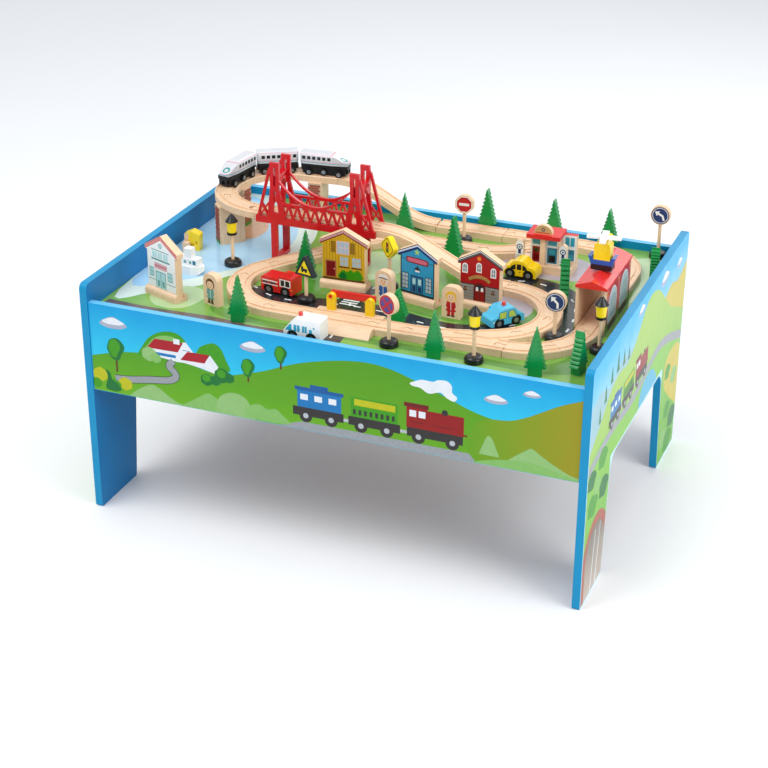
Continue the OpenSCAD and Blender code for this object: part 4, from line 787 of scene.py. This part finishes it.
printed("shed_wall_prints", "table", "shed_print", [(wall((357, 0), 90, 24.8, BOARD_TOP), shed_art), (wall((357, 0), -90, 24.8, BOARD_TOP),
    [(l, t, [(-u, v) for u, v in o]) for l, t, o in shed_art])])

# ---- Fuel station ----
# Beech blocks on a beech base: a pump block with printed panels, a wall
# behind it, two white pump boards, a column and a red canopy.


def station_paint(tree, place):
    z = put(tree, "ShaderNodeSeparateXYZ", i0=place).outputs[2]
    return put(tree, "ShaderNodeMix", {"data_type": "RGBA"}, i0=inside(tree, z, 424.9, 432.1), i6=beech_x(tree, place), i7=mottled("DE2A26",
        "C81E1C", 20)(tree, place)).outputs[2]


dress(coated("station_beech_and_red", station_paint, rough=0.34, coat=0.15), "fuel_station")
pump_white = coated("pump_white_print", mottled("F0F2F1", "DFE4E3", 10), rough=0.3)
pump_red = coated("pump_red_print", mottled("9C1418", "820D12", 8), rough=0.3)
pump_blue = coated("pump_blue_print", mottled("2F7FA0", "246C8C", 8), rough=0.3)
pump_navy = coated("pump_navy_print", mottled("1C2E6A", "15245A", 5), rough=0.3)
sign_gold = coated("sign_gold_print", mottled("C9AA72", "B4945C", 5), rough=0.35)
station_front = [(1, pump_white, box(-23.6, 0.4, 23.6, 47.6)), (2, glass_teal, box(-21, 34, -8, 44)), (2, glass_teal, box(6, 34, 21, 44)),
    (2, pump_red, box(-21, 2, -8, 30)),
                 (3, window_black, box(-19, 20, -10, 27)), (3, engine_deep, box(-19, 5, -10, 16)), (2, pump_blue, box(5, 2, 22, 30)), (3,
                 glass_teal, box(8, 19, 19, 27)), (3, window_black, box(8, 4, 19, 16))]
wing_front = [(1, pump_white, box(25, 0.4, 49.6, 47.6)), (2, glass_teal, box(30, 28, 46, 44)), (3, pump_white, box(37.4, 28, 38.6, 44)), (2,
    pump_blue, box(30, 2, 46, 22)), (3, glass_teal, box(32, 4, 44, 13))]
wall_back = [(1, pump_white, box(-49.6, 0.4, 23.6, 47.6))] + [(2, glass_teal, box(u, 24, u + 15, 40)) for u in (-46, -26, -6)] + [(3,
    pump_white, box(u + 7, 24, u + 8, 40)) for u in (-46, -26, -6)] + \
    [(2, pump_blue, box(-46, 4, 8, 18)), (2, pump_red, box(11, 2, 21, 36))]
side_art = [(1, pump_white, box(-9.6, 0.4, 9.6, 47.6)), (2, glass_teal, box(-6, 26, 6, 42)), (2, pump_blue, box(-6, 4, 6, 20))]
PUMP = (216, 143)


def off(u, v):
    """A place in the station's own frame as a place on the table."""
    c, s = math.cos(math.radians(2)), math.sin(math.radians(2))
    return (PUMP[0] + c * u - s * v, PUMP[1] + s * u + c * v)


pump_face = [(1, pump_white, arch(0, 0.6, 13.2, 39)), (2, pump_navy, disc(0, 28, 5.2)), (3, pump_white, disc(0, 28, 3.6)), (2, pump_navy,
    box(-2.4, 16, 2.4, 24)), (4, pump_blue, disc(0, 28, 1.8)),
             (2, pump_blue, box(-5, 12, 5, 13.2)), (2, pump_blue, box(-5, 9, 5, 10.2)), (2, leaf_green, box(-5, 3, 5, 6.6))]
half_disc = [(16 * math.cos(t), 16 * math.sin(t)) for t in [math.pi * i / 24 for i in range(25)]]
sign_face = [(1, sign_gold, [(0.95 * u, 0.95 * v + 0.5) for u, v in half_disc]), (2, trim_red, box(-12, 1.6, 12, 3.2)), (2, pump_navy,
    disc(0, 8, 3.2)), (3, sign_gold, disc(0, 8, 1.8))]
printed("station_prints", "table", "station_paint",
        [(wall(off(0, 0), 2, 10, 377), station_front), (wall(off(0, 0), 2, -12, 377), wing_front), (wall(off(0, 0), 182, 22, 377),
        wall_back),
         (wall(off(-24, 0), -88, 0, 377), side_art)] +
        [(wall(off(u, -14), turn, 4, 377), pump_face) for u in (-41, 34) for turn in (2, 182)] +
        [(wall(off(-2, -11), turn, 5, 432), sign_face) for turn in (2, 182)])

# ---- House fronts ----
# Four flat house fronts, 14 mm thick, cut from beech and glued into log
# bases. Each face is printed with its walls, roof edge, doors and windows.
dress(coated("sawn_beech_plank", beech_z, rough=0.5, grain=0.2), "house_fronts")


def tones(name, light, dark, mm=8, rough=0.38):
    return coated(name, mottled(light, dark, mm), rough=rough, coat=0.05)


brown_dark = tones("dark_brown_print", "5E3E14", "4A2F0E")
wood_gold = tones("yellow_plank_print", "D9AE1C", "C49612", 10)
plank_line = tones("plank_line_print", "9C7712", "86650E")
shutter_brown = tones("shutter_print", "A67E16", "8E6A10")
pane_blue = tones("blue_grey_pane_print", "B4C6D0", "98AEBB", 6, 0.28)
door_red = tones("dark_red_door_print", "9A0E12", "7F080C")
roof_pink = tones("pale_roof_line_print", "F0C4C2", "E3ABAA")
roof_wine = tones("wine_roof_print", "7C0B12", "65070C")
wall_blue = tones("blue_wall_print", "2C9CC6", "1B86B2", 14)
navy = tones("navy_print", "0F326C", "0A2759")
slate = tones("slate_line_print", "1F2C36", "151F28")
lilac = tones("pale_lilac_print", "DDE2F6", "C6CDEA")
plate_pink = tones("pink_plate_print", "DA6E85", "C55570")
lime_star = tones("lime_star_print", "B4D67A", "9BC262", 4)
wall_red = tones("red_wall_print", "B40A14", "9B050E", 16)
stone_grey = tones("stone_print", "9C938D", "857C76", 5)
gold_plate = tones("gold_plate_print", "B98A4E", "9F7440", 5)
wall_white = tones("white_wall_print", "F5F6F5", "E6EAE9", 14)
roof_rose = tones("rose_roof_print", "D0685E", "BC554C", 10)
teal_pale = tones("pale_teal_print", "BDE2E4", "A2D2D6", 6, 0.28)
teal_line = tones("teal_line_print", "6FA6A4", "5C9290")
rose_plate = tones("rose_plate_print", "D88C95", "C87882")


def gable(w, eave, ridge, drop=0.0, foot=14.6):
    """The face of a house front, its roof line lowered by drop."""
    h = w / 2 + 4.6
    wall_h = w / 2 - 0.4
    return [(-wall_h, foot), (wall_h, foot), (wall_h, eave - 7.2), (h - drop * 0.3, eave - 7.2 if drop < 7 else eave - drop),
        (h - drop * 0.3, eave - 0.4 - drop), (0, ridge - 0.4 - drop),
            (-h + drop * 0.3, eave - 0.4 - drop), (-h + drop * 0.3, eave - 7.2 if drop < 7 else eave - drop), (-wall_h, eave - 7.2)]


def roof_line(w, eave, ridge, top, low, layer, tone):
    """A band that follows both slopes of the roof, from top to low mm under its edge."""
    h = w / 2 + 4.6
    out = []
    for sgn in (1, -1):
        out.append((layer, tone, [(0, ridge - 0.4 - top), (0, ridge - 0.4 - low), (sgn * h, eave - 0.4 - low), (sgn * h,
            eave - 0.4 - top)]))
    return out


def window(layer, u0, v0, u1, v1, rim, pane, bars=1, across=1):
    """A printed window: its frame, the pane and the glazing bars."""
    art = [(layer, rim, box(u0, v0, u1, v1)), (layer + 1, pane, box(u0 + 1.2, v0 + 1.2, u1 - 1.2, v1 - 1.2))]
    art += [(layer + 2, rim, box(u0 + (u1 - u0) * (k + 1) / (bars + 1) - 0.4, v0 + 1, u0 + (u1 - u0) * (k + 1) / (bars + 1) + 0.4,
        v1 - 1)) for k in range(bars)]
    art += [(layer + 2, rim, box(u0 + 1, v0 + (v1 - v0) * (k + 1) / (across + 1) - 0.4, u1 - 1,
        v0 + (v1 - v0) * (k + 1) / (across + 1) + 0.4)) for k in range(across)]
    return art


def star(u, v, r):
    return [(u + (r if i % 2 == 0 else r * 0.42) * math.sin(math.pi * i / 5),
        v + (r if i % 2 == 0 else r * 0.42) * math.cos(math.pi * i / 5)) for i in range(10)]


yellow_house = [(0, wood_gold, gable(74, 83, 104))] + [(1, plank_line, box(u - 0.35, 15, u + 0.35,
    78 + 18 * (1 - abs(u) / 37))) for u in range(-34, 36, 5)]
yellow_house += roof_line(74, 83, 104, 0, 6.8, 3, roof_wine) + roof_line(74, 83, 104, 1.2, 2.4, 4, roof_pink) + roof_line(74, 83, 104, 3.4,
    4.4, 4, roof_pink)
yellow_house += window(3, -12, 61, 10, 84, roof_pink, pane_blue, 2, 1) + [(3, shutter_brown, box(-22, 63, -13.4, 83)), (3, shutter_brown,
    box(11.4, 63, 20, 83))]
yellow_house += [(4, brown_dark, box(u, v, u + 7, v + 0.7)) for u in (-21.2, 12.2) for v in (66, 69, 72, 75, 78, 81)]
yellow_house += window(3, -7, 40, 9, 58, wood_gold, pane_blue, 1, 1) + window(3, 14, 40, 31, 58, wood_gold, pane_blue, 1, 1) + [(4,
    brown_dark, box(-8, 37.6, 10, 40)), (4, brown_dark, box(13, 37.6, 32, 40))]
yellow_house += [(3, gold_plate, box(-32, 19, -12, 49.4)), (4, door_red, box(-30, 20, -14, 47.4)), (5, roof_wine, box(-28, 23, -16, 33)),
    (5, roof_wine, box(-28, 35, -16, 45)), (6, roof_pink, disc(-16, 34, 1.2))]
yellow_house += [(6, leaf_green, smooth([(-7, 19), (-7, 28), (0, 34), (6, 31), (12, 36), (18, 32), (24, 36), (31, 30), (31, 19)])), (7,
    leaf_dark, smooth([(-6, 19), (-6, 26), (-1, 30), (4, 26), (5, 19)])),
                 (2, brown_dark, box(-36.4, 14.8, 36.4, 18.6))]
blue_house = [(0, wall_blue, gable(66, 85, 104)), (2, slate, box(-32.6, 14.8, -30.6, 80)), (2, slate, box(30.6, 14.8, 32.6, 80)), (2, slate,
    box(-32.6, 14.8, 32.6, 18.4))]
blue_house += roof_line(66, 85, 104, 0, 8.4, 3, navy) + roof_line(66, 85, 104, 0, 1.1, 4, slate) + roof_line(66, 85, 104, 1.4, 4.2, 4,
    lilac)
blue_house += [(1, pump_blue, box(-30.6, 72.6, 30.6, 75)), (5, lime_star, star(-1, 89, 6)), (5, roof_wine,
    smooth([(-21, 74), (-18, 69.4), (18, 68.8), (20, 73), (18, 78.6), (-18, 79)])),
               (6, plate_pink, smooth([(-19, 74), (-16, 71), (16, 70.6), (18, 73.4), (16, 77), (-16, 77.4)])), (4, slate,
               [(-6, 58), (6, 58), (4, 62), (1, 63.4), (1, 66), (-1, 66), (-1, 63.4), (-4, 62)]), (5, trim_white, box(-4, 55, 4, 58)),
               (3, navy, box(-13, 18, 11.5, 48)), (4, pump_blue, box(-11, 18.4, -1.4, 46)), (4, pump_blue, box(-0.2, 18.4, 9.6, 46)), (5,
               teal_pale, box(-9, 33, -3.4, 43)), (5, teal_pale, box(1.8, 33, 7.6, 43)),
               (5, navy, box(-9, 20, -3.4, 30)), (5, navy, box(1.8, 20, 7.6, 30))]
blue_house += window(3, -30, 22, -17, 50, slate, pane_blue, 1, 3) + window(3, 15, 22, 28, 50, slate, pane_blue, 1, 3)
red_house = [(0, wall_red, gable(68, 82, 103)), (1, stone_grey, box(-33.4, 14.8, 33.4, 42)), (2, slate, box(-33.4, 41.4, 33.4, 43))]
red_house += [(2, slate, box(u, v, u + 7.4, v + 0.5)) for v in (20, 25.4, 30.8, 36.2) for u in range(-32, 28, 9)]
red_house += roof_line(68, 82, 103, 0, 7, 3, slate) + roof_line(68, 82, 103, 1.2, 2.6, 4, trim_white) + roof_line(68, 82, 103, 4.2, 5.0, 4,
    stone_grey)
for u, v in ((-26, 60), (-2, 64), (23, 59)):
    red_house += [(4, trim_white, arch(u, v, 9.6, 17)), (5, lead_grey, arch(u, v + 2, 6.2, 13)), (6, trim_white,
        box(u - 0.4, v + 2, u + 0.4, v + 15)), (6, trim_white, box(u - 3, v + 7.6, u + 3, v + 8.4))]
red_house += [(4, gold_plate, strip([(-19, 50), (-10, 55), (0, 57), (9, 55), (17, 50)], 6)), (5, brown_dark,
    strip([(-19, 47), (-10, 52), (0, 53.6), (9, 52), (17, 47)], 0.8)), (5, lamp_orange, disc(-2, 88, 3.4)),
              (4, roof_wine, arch(0, 15, 21, 32)), (5, slate, arch(0, 15, 18, 28)), (6, door_red, box(-8, 15, -0.5, 34)), (6, door_red,
              box(0.5, 15, 8, 34)), (7, trim_white, arch(-4.4, 32, 4.4, 7)), (7, trim_white, arch(4.4, 32, 4.4, 7))]
red_house += [(4, slate, smooth([(u - 3, 31), (u, 37.4), (u + 3, 31), (u, 29.6)])) for u in (-25, 23)] + [(5, lamp_orange, disc(u, 33,
    1.3)) for u in (-25, 23)]
white_house = [(0, wall_white, gable(68, 84, 107))] + roof_line(68, 84, 107, 0, 7.4, 3, roof_rose) + roof_line(68, 84, 107, 2.4, 3.2, 4,
    roof_pink) + roof_line(68, 84, 107, 5.0, 5.7, 4, roof_pink)
white_house += [(3, teal_line, disc(-1, 89, 4.2)), (4, teal_pale, disc(-1, 89, 2.8)), (3, teal_line, box(-23, 79.4, 19, 81)), (3, teal_line,
    box(-24, 62.4, 21, 65.4)), (4, rose_plate, box(-17, 48, 13, 58)), (5, wall_white, box(-15.6, 49.4, 11.6, 50.2)),
                (5, wall_white, box(-15.6, 55.8, 11.6, 56.6)), (3, teal_line, box(-15, 15, 9.6, 44)), (4, teal_pale,
                box(-13.4, 15, -3.4, 42.4)), (4, teal_pale, box(-2, 15, 8, 42.4)), (5, teal_line, box(-11, 18, -5.8, 28)), (5, teal_line,
                box(0.4, 18, 5.6, 28)),
                (2, teal_line, box(-33, 26.4, -16, 27.6)), (2, teal_line, box(10.6, 26.4, 33, 27.6))]
for u in (-22, -8.4, 5.2):
    white_house += window(4, u, 66, u + 12.6, 79, wall_white, teal_pale, 1, 0)
white_house += window(3, -30, 32, -19, 48, teal_line, teal_pale, 1, 1) + window(3, 14, 32, 26, 48, teal_line, teal_pale, 1, 1)
for name, place, heading, art in (("white_house", (-323, -201), -21, white_house), ("yellow_house", (-67, -57), 3, yellow_house),
        ("blue_house", (68, -67), -13, blue_house), ("red_house", (168, -52), -4, red_house)):
    printed(f"{name}_print", "table", "house_print", [(wall(place, heading, 7, BOARD_TOP), art), (wall(place, heading + 180, 7, BOARD_TOP),
        art)])

# ---- Road signs ----
# Round, eight-sided, square and three-sided beech plates on dowels in black
# domed feet. The printed faces carry plain shapes and no words.


def by_height(*bands):
    """Bands of finish up a turned post, each with the height in mm above the board where it starts."""
    def colour(tree, place):
        z = put(tree, "ShaderNodeSeparateXYZ", i0=place).outputs[2]
        mix = bands[0][1](tree, place)
        for start, tone in bands[1:]:
            mask = put(tree, "ShaderNodeMath", {"operation": "GREATER_THAN"}, i0=z, i1=(363 + start) / 1000).outputs[0]
            mix = put(tree, "ShaderNodeMix", {"data_type": "RGBA"}, i0=mask, i6=mix, i7=tone(tree, place)).outputs[2]
        return mix
    return colour


lacquer_black = mottled("15161A", "0D0E10", 5)
dress(coated("black_foot_and_dowel", by_height((0, lacquer_black), (11, beech_z)), rough=0.3, coat=0.2), "sign_posts")


def plate_paint(tree, place):
    """Bare beech, but the diamond plate is dipped yellow and the triangle is dipped black."""
    mix = beech_x(tree, place)
    for middle, tone in (((3, -34), "F2D414"), ((-103, -133), "1E2A2C")):
        flat = put(tree, "ShaderNodeVectorMath", {"operation": "MULTIPLY"}, i0=place, i1=(1, 1, 0)).outputs[0]
        reach = put(tree, "ShaderNodeVectorMath", {"operation": "DISTANCE"}, i0=flat, i1=(middle[0] / 1000, middle[1] / 1000,
            0)).outputs["Value"]
        mix = put(tree, "ShaderNodeMix", {"data_type": "RGBA"}, i0=inside(tree, reach, -1, 30), i6=mix, i7=ink(tone)).outputs[2]
    return mix


dress(coated("beech_and_dipped_plates", plate_paint, rough=0.4, grain=0.12), "sign_plates")
sign_violet = tones("violet_sign_print", "5C4A8E", "4B3A7C")
sign_yellow = tones("yellow_sign_print", "F4D916", "E8C90E")
sign_blue = tones("blue_sign_print", "2A3E6E", "1E3060")
sign_red = tones("red_sign_print", "C8262C", "AE1B22")


def turned(points, angle):
    c, s = math.cos(math.radians(angle)), math.sin(math.radians(angle))
    return [(c * u - s * v, s * u + c * v) for u, v in points]


arrow = [(2, -10), (5.4, -10), (5.4, -1), (-1, 5.4), (1.4, 8), (-7, 9), (-6.4, 0.4), (-3.6, 2.8), (2, -2.6)]
bar = [(-2, -12), (2, -12), (2, 12), (-2, 12)]
no_parking = [(1, sign_red, disc(0, 0, 15.4, n=32)), (2, sign_violet, disc(0, 0, 12.4, n=32)), (3, sign_red, turned(bar, 45)), (3, sign_red,
    turned(bar, -45))]
ahead_only = [(1, sign_blue, disc(0, 0, 15.4, n=32)), (2, trim_white, disc(0, 0, 13.8, n=32)), (3, sign_blue, disc(0, 0, 12.8, n=32)), (4,
    trim_white, arrow)]
turn_left = [(1, sign_blue, disc(0, 0, 15.4, n=32)), (2, trim_white, disc(0, 0, 13.8, n=32)), (3, sign_blue, disc(0, 0, 12.8, n=32)), (4,
    trim_white, turned(arrow, 18))]
octagon = [(r * math.cos(math.radians(22.5 + 45 * i)), r * math.sin(math.radians(22.5 + 45 * i))) for r in (15.6,) for i in range(8)]
halt = [(1, trim_white, octagon), (2, sign_red, [(0.9 * u, 0.9 * v) for u, v in octagon]), (3, trim_white, box(-9, -2.4, 9, 2.4))]
square = [(12 * math.cos(math.radians(90 * q)) + 6.1 * math.cos(math.radians(90 * q - 45 + 18 * k)),
    12 * math.sin(math.radians(90 * q)) + 6.1 * math.sin(math.radians(90 * q - 45 + 18 * k))) for q in range(4) for k in range(6)]
lights_ahead = [(1, slate, [(0.9 * u, 0.9 * v) for u, v in square]), (2, sign_yellow, [(0.83 * u, 0.83 * v) for u, v in square]), (3, slate,
    box(-3.6, -8.4, 3.6, 8.4)),
                (4, sign_red, disc(0, 5, 2)), (4, lamp_orange, disc(0, 0, 2)), (4, leaf_green, disc(0, -5, 2))]
triangle = [(-18.6, -13.7), (18.6, -13.7), (1.8, 18.6), (-1.8, 18.6)]
train_ahead = [(1, slate, triangle), (2, sign_yellow, [(-13, -10.6), (13, -10.6), (0, 13)]), (3, slate, box(-6, -6, 6, -1)), (3, slate,
    box(-6, -1, -1.6, 2.4)), (3, slate, disc(-3.4, -6.6, 1.5)), (3, slate, disc(3.4, -6.6, 1.5))]
for number, (place, heading, height, art) in enumerate([((83, -239), -22, 70, no_parking), ((313, -124), 5, 66, ahead_only), ((380, 268), 0,
        78, turn_left), ((48, 206), 5, 72, halt),
                                                        ((3, -34), -35, 74, lights_ahead), ((-103, -133), -12, 60, train_ahead)], 1):
    printed(f"sign_{number}_print", "table", "plate_wood", [(wall(place, heading, 5, BOARD_TOP + height), art)])

# ---- Street lamps ----
# Turned lamps: a black domed foot, a plain beech dowel, a black ring, a
# yellow lantern and a black cap, all lacquered.
dress(coated("street_lamp_lacquer", by_height((0, lacquer_black), (11, beech_z), (56, lacquer_black), (60.2,
    mottled("FBE01A", "F0CE10", 8)), (78.8, lacquer_black)), rough=0.28, coat=0.25), "street_lamps")

# ---- Figures ----
# Rounded beech blocks with a simple printed doll on the front: a boy, a
# traffic warden and a girl. The faces are dots for eyes and a plain smile.
dress(coated("sanded_beech_block", beech_z, rough=0.45, grain=0.15), "figure_blocks")
skin = tones("skin_print", "F3CDA8", "E8BC94")
coat_blue = tones("blue_coat_print", "2B5FA8", "204E92")
hair_gold = tones("gold_hair_print", "F2C21C", "E2AE12")
hair_brown = tones("brown_hair_print", "6E4426", "593418")


def doll(hair, top, legs, hat=None):
    """A printed doll with a round head."""
    art = [(1, legs, box(-6, 4, -0.8, 14)), (1, legs, box(0.8, 4, 6, 14)), (2, slate, box(-7, 3, -0.6, 5.4)), (2, slate,
        box(0.6, 3, 7, 5.4)),
           (2, top, smooth([(-7.6, 12), (7.6, 12), (8.4, 20), (6, 29), (-6, 29), (-8.4, 20)])), (3, skin, disc(-8.6, 17, 2)), (3, skin,
           disc(8.6, 17, 2)), (4, hair, disc(0, 37, 9.4, 9.6)), (5, skin, disc(0, 35.6, 7.4, 7.6)),
           (6, slate, disc(-2.8, 36.6, 0.8)), (6, slate, disc(2.8, 36.6, 0.8)), (6, sign_red,
           strip([(-2.6, 33), (0, 31.8), (2.6, 33)], 0.7)), (3, trim_white, box(-0.5, 14, 0.5, 28))]
    if hat:
        art += [(7, hat, smooth([(-9, 41), (-7, 47), (0, 49), (7, 47), (9, 41), (0, 42.6)])), (8, slate,
            strip([(-8.6, 41.4), (0, 42.4), (8.6, 41.4)], 1.6))]
    else:
        art += [(6, hair, smooth([(-8.4, 38), (-6, 44), (0, 46), (6, 44), (8.4, 38), (3, 41.6), (-3, 41.6)]))]
    return art


for name, place, heading, art in (("boy", (-237, -200), -20, doll(hair_brown, teal_line, brown_dark)), ("warden", (15, -83), -14,
        doll(trim_white, coat_blue, navy, trim_white)),
                                  ("girl", (137, -101), -4, doll(hair_gold, sign_red, sign_red))):
    printed(f"{name}_print", "table", "figure_print", [(wall(place, heading, 6.5, BOARD_TOP), art)])

# ---- Fir trees ----
# Thirteen flat firs sawn from 15 mm beech with a saw-toothed edge, sanded
# and dipped in green lacquer, which leaves the grain as darker streaks.
fir_lacquer = coated("green_dip_lacquer", grained("0A9A48", "067F3A", "Z", 6), rough=0.3, coat=0.25, grain=0.12)
FIR_FOOT, FIR_HALF, FIR_THICK, TEETH = 13, 16.8, 15, 8
firs = [(-172, -243, 14, 76), (162, -252, 12, 76), (322, -252, 12, 76), (380, -221, 78, 68), (285, 22, 104, 76), (395, 182, 100, 52), (-150,
    -30, 15, 76),
        (63, -150, -4, 55), (-62, 201, 16, 76), (56, 130, -8, 76), (66, 279, 0, 76), (189, 279, 0, 74), (289, 279, 0, 70)]
work = bmesh.new()
for x, y, heading, tall in firs:
    step = (tall - 3 - FIR_FOOT) / TEETH
    half = [(10.6, 0), (10.6, FIR_FOOT)]
    for i in range(TEETH):
        reach = FIR_HALF - 14.6 * i / TEETH
        half += [(reach, FIR_FOOT + step * i + 0.6), (reach - 1.4, FIR_FOOT + step * i + 3.0), (max(reach - 5.4, 1.4),
            FIR_FOOT + step * (i + 1))]
    half.append((1.2, tall))
    outline = half + [(-u, v) for u, v in half[::-1]]
    front, back = [[work.verts.new(wall((x, y), heading, out, BOARD_TOP)(u, v, 0)) for u, v in outline] for out in (FIR_THICK / 2,
        -FIR_THICK / 2)]
    faces = [work.faces.new(front), work.faces.new(back[::-1])]
    faces += [work.faces.new((front[i], back[i], back[(i + 1) % len(front)], front[(i + 1) % len(front)])) for i in range(len(front))]
bmesh.ops.recalc_face_normals(work, faces=work.faces[:])
rims = [edge for edge in work.edges if any(len(face.verts) > 4 for face in edge.link_faces)]
bmesh.ops.bevel(work, geom=rims, offset=0.0007, segments=2, affect="EDGES", clamp_overlap=True)
bmesh.ops.triangulate(work, faces=work.faces[:])
fir_mesh = bpy.data.meshes.new("fir_trees")
work.to_mesh(fir_mesh)
work.free()
fir_mesh.materials.append(fir_lacquer)
fir_trees = bpy.data.objects.new("fir_trees", fir_mesh)
bpy.context.collection.objects.link(fir_trees)
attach(fir_trees, "table")
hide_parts("trees")

# ---- Harbour toys ----
# A white tug and a yellow harbour hut with a crate
# beside it, all of lacquered beech.


def harbour_paint(tree, place):
    x, y, z = put(tree, "ShaderNodeSeparateXYZ", i0=place).outputs
    hut = put(tree, "ShaderNodeMath", {"operation": "GREATER_THAN"}, i0=y, i1=-0.05).outputs[0]
    crate = put(tree, "ShaderNodeMath", {"operation": "MULTIPLY"}, i0=hut, i1=put(tree, "ShaderNodeMath", {"operation": "LESS_THAN"}, i0=y,
        i1=-0.0098).outputs[0]).outputs[0]
    white = mottled("F5F6F6", "E4E8EA", 10)(tree, place)
    painted = put(tree, "ShaderNodeMix", {"data_type": "RGBA"}, i0=hut, i6=white, i7=mottled("FBDD22", "F0CC14", 8)(tree, place)).outputs[2]
    return put(tree, "ShaderNodeMix", {"data_type": "RGBA"}, i0=crate, i6=painted, i7=beech_x(tree, place)).outputs[2]


dress(coated("harbour_lacquer", harbour_paint, rough=0.28, coat=0.3), "harbour_toys")
hut_gold = tones("hut_gold_print", "D9AE12", "C89C0C", 5)
hut_art = [(1, hut_gold, box(-3.4, 1, 3.4, 14)), (1, hut_gold, box(-10, 12, -6, 18)), (1, hut_gold, box(6, 12, 10, 18))]
tug_art = [(1, teal_line, disc(u, 21, 2.6)) for u in (-17, -7, 3)] + [(1, pump_blue, box(8, 18, 14, 25))]
printed("harbour_prints", "table", "harbour_paint", [(wall((-376, 0), 8, 9, BOARD_TOP), hut_art), (wall((-376, 0), 188, 9, BOARD_TOP),
    hut_art),
                                                     (wall((-331, -95), -6, 9, BOARD_TOP), tug_art), (wall((-331, -95), 174, 9, BOARD_TOP),
                                                     [(l, t, [(-u, v) for u, v in o]) for l, t, o in tug_art])])

# ---- Studio ----
# A plain pale floor and soft light from large panels overhead.
floor_mesh = bpy.data.meshes.new("floor")
floor_mesh.from_pydata([(-8, -8, 0), (8, -8, 0), (8, 8, 0), (-8, 8, 0)], [], [(0, 1, 2, 3)])
floor_mesh.materials.append(coated("pale_studio_floor", mottled("F6F7F9", "F2F4F6", 400), rough=0.6, grain=0.0))
floor = bpy.data.objects.new("floor", floor_mesh)
bpy.context.collection.objects.link(floor)
sky = bpy.data.worlds.new("studio")
sky.use_nodes = True
sky.node_tree.nodes["Background"].inputs[0].default_value = ink("F7F9FC")
sky.node_tree.nodes["Background"].inputs[1].default_value = 0.78
bpy.context.scene.world = sky
bpy.context.scene.view_settings.view_transform = "Standard"
for name, spot, aim, size, power in (("key", (-0.9, -1.1, 2.8), (0, 0, 0.3), 1.8, 42), ("fill", (2.5, -0.7, 1.7), (0.2, 0, 0.3), 1.8, 40),
        ("rear", (0.4, 2.2, 2.2), (0, 0, 0.4), 1.6, 18)):
    lamp = bpy.data.lights.new(name, "AREA")
    lamp.size, lamp.energy = size, power
    stand = bpy.data.objects.new(name, lamp)
    stand.matrix_world = Matrix.Translation(spot) @ (Vector(aim) - Vector(spot)).to_track_quat("-Z", "Y").to_matrix().to_4x4()
    bpy.context.collection.objects.link(stand)
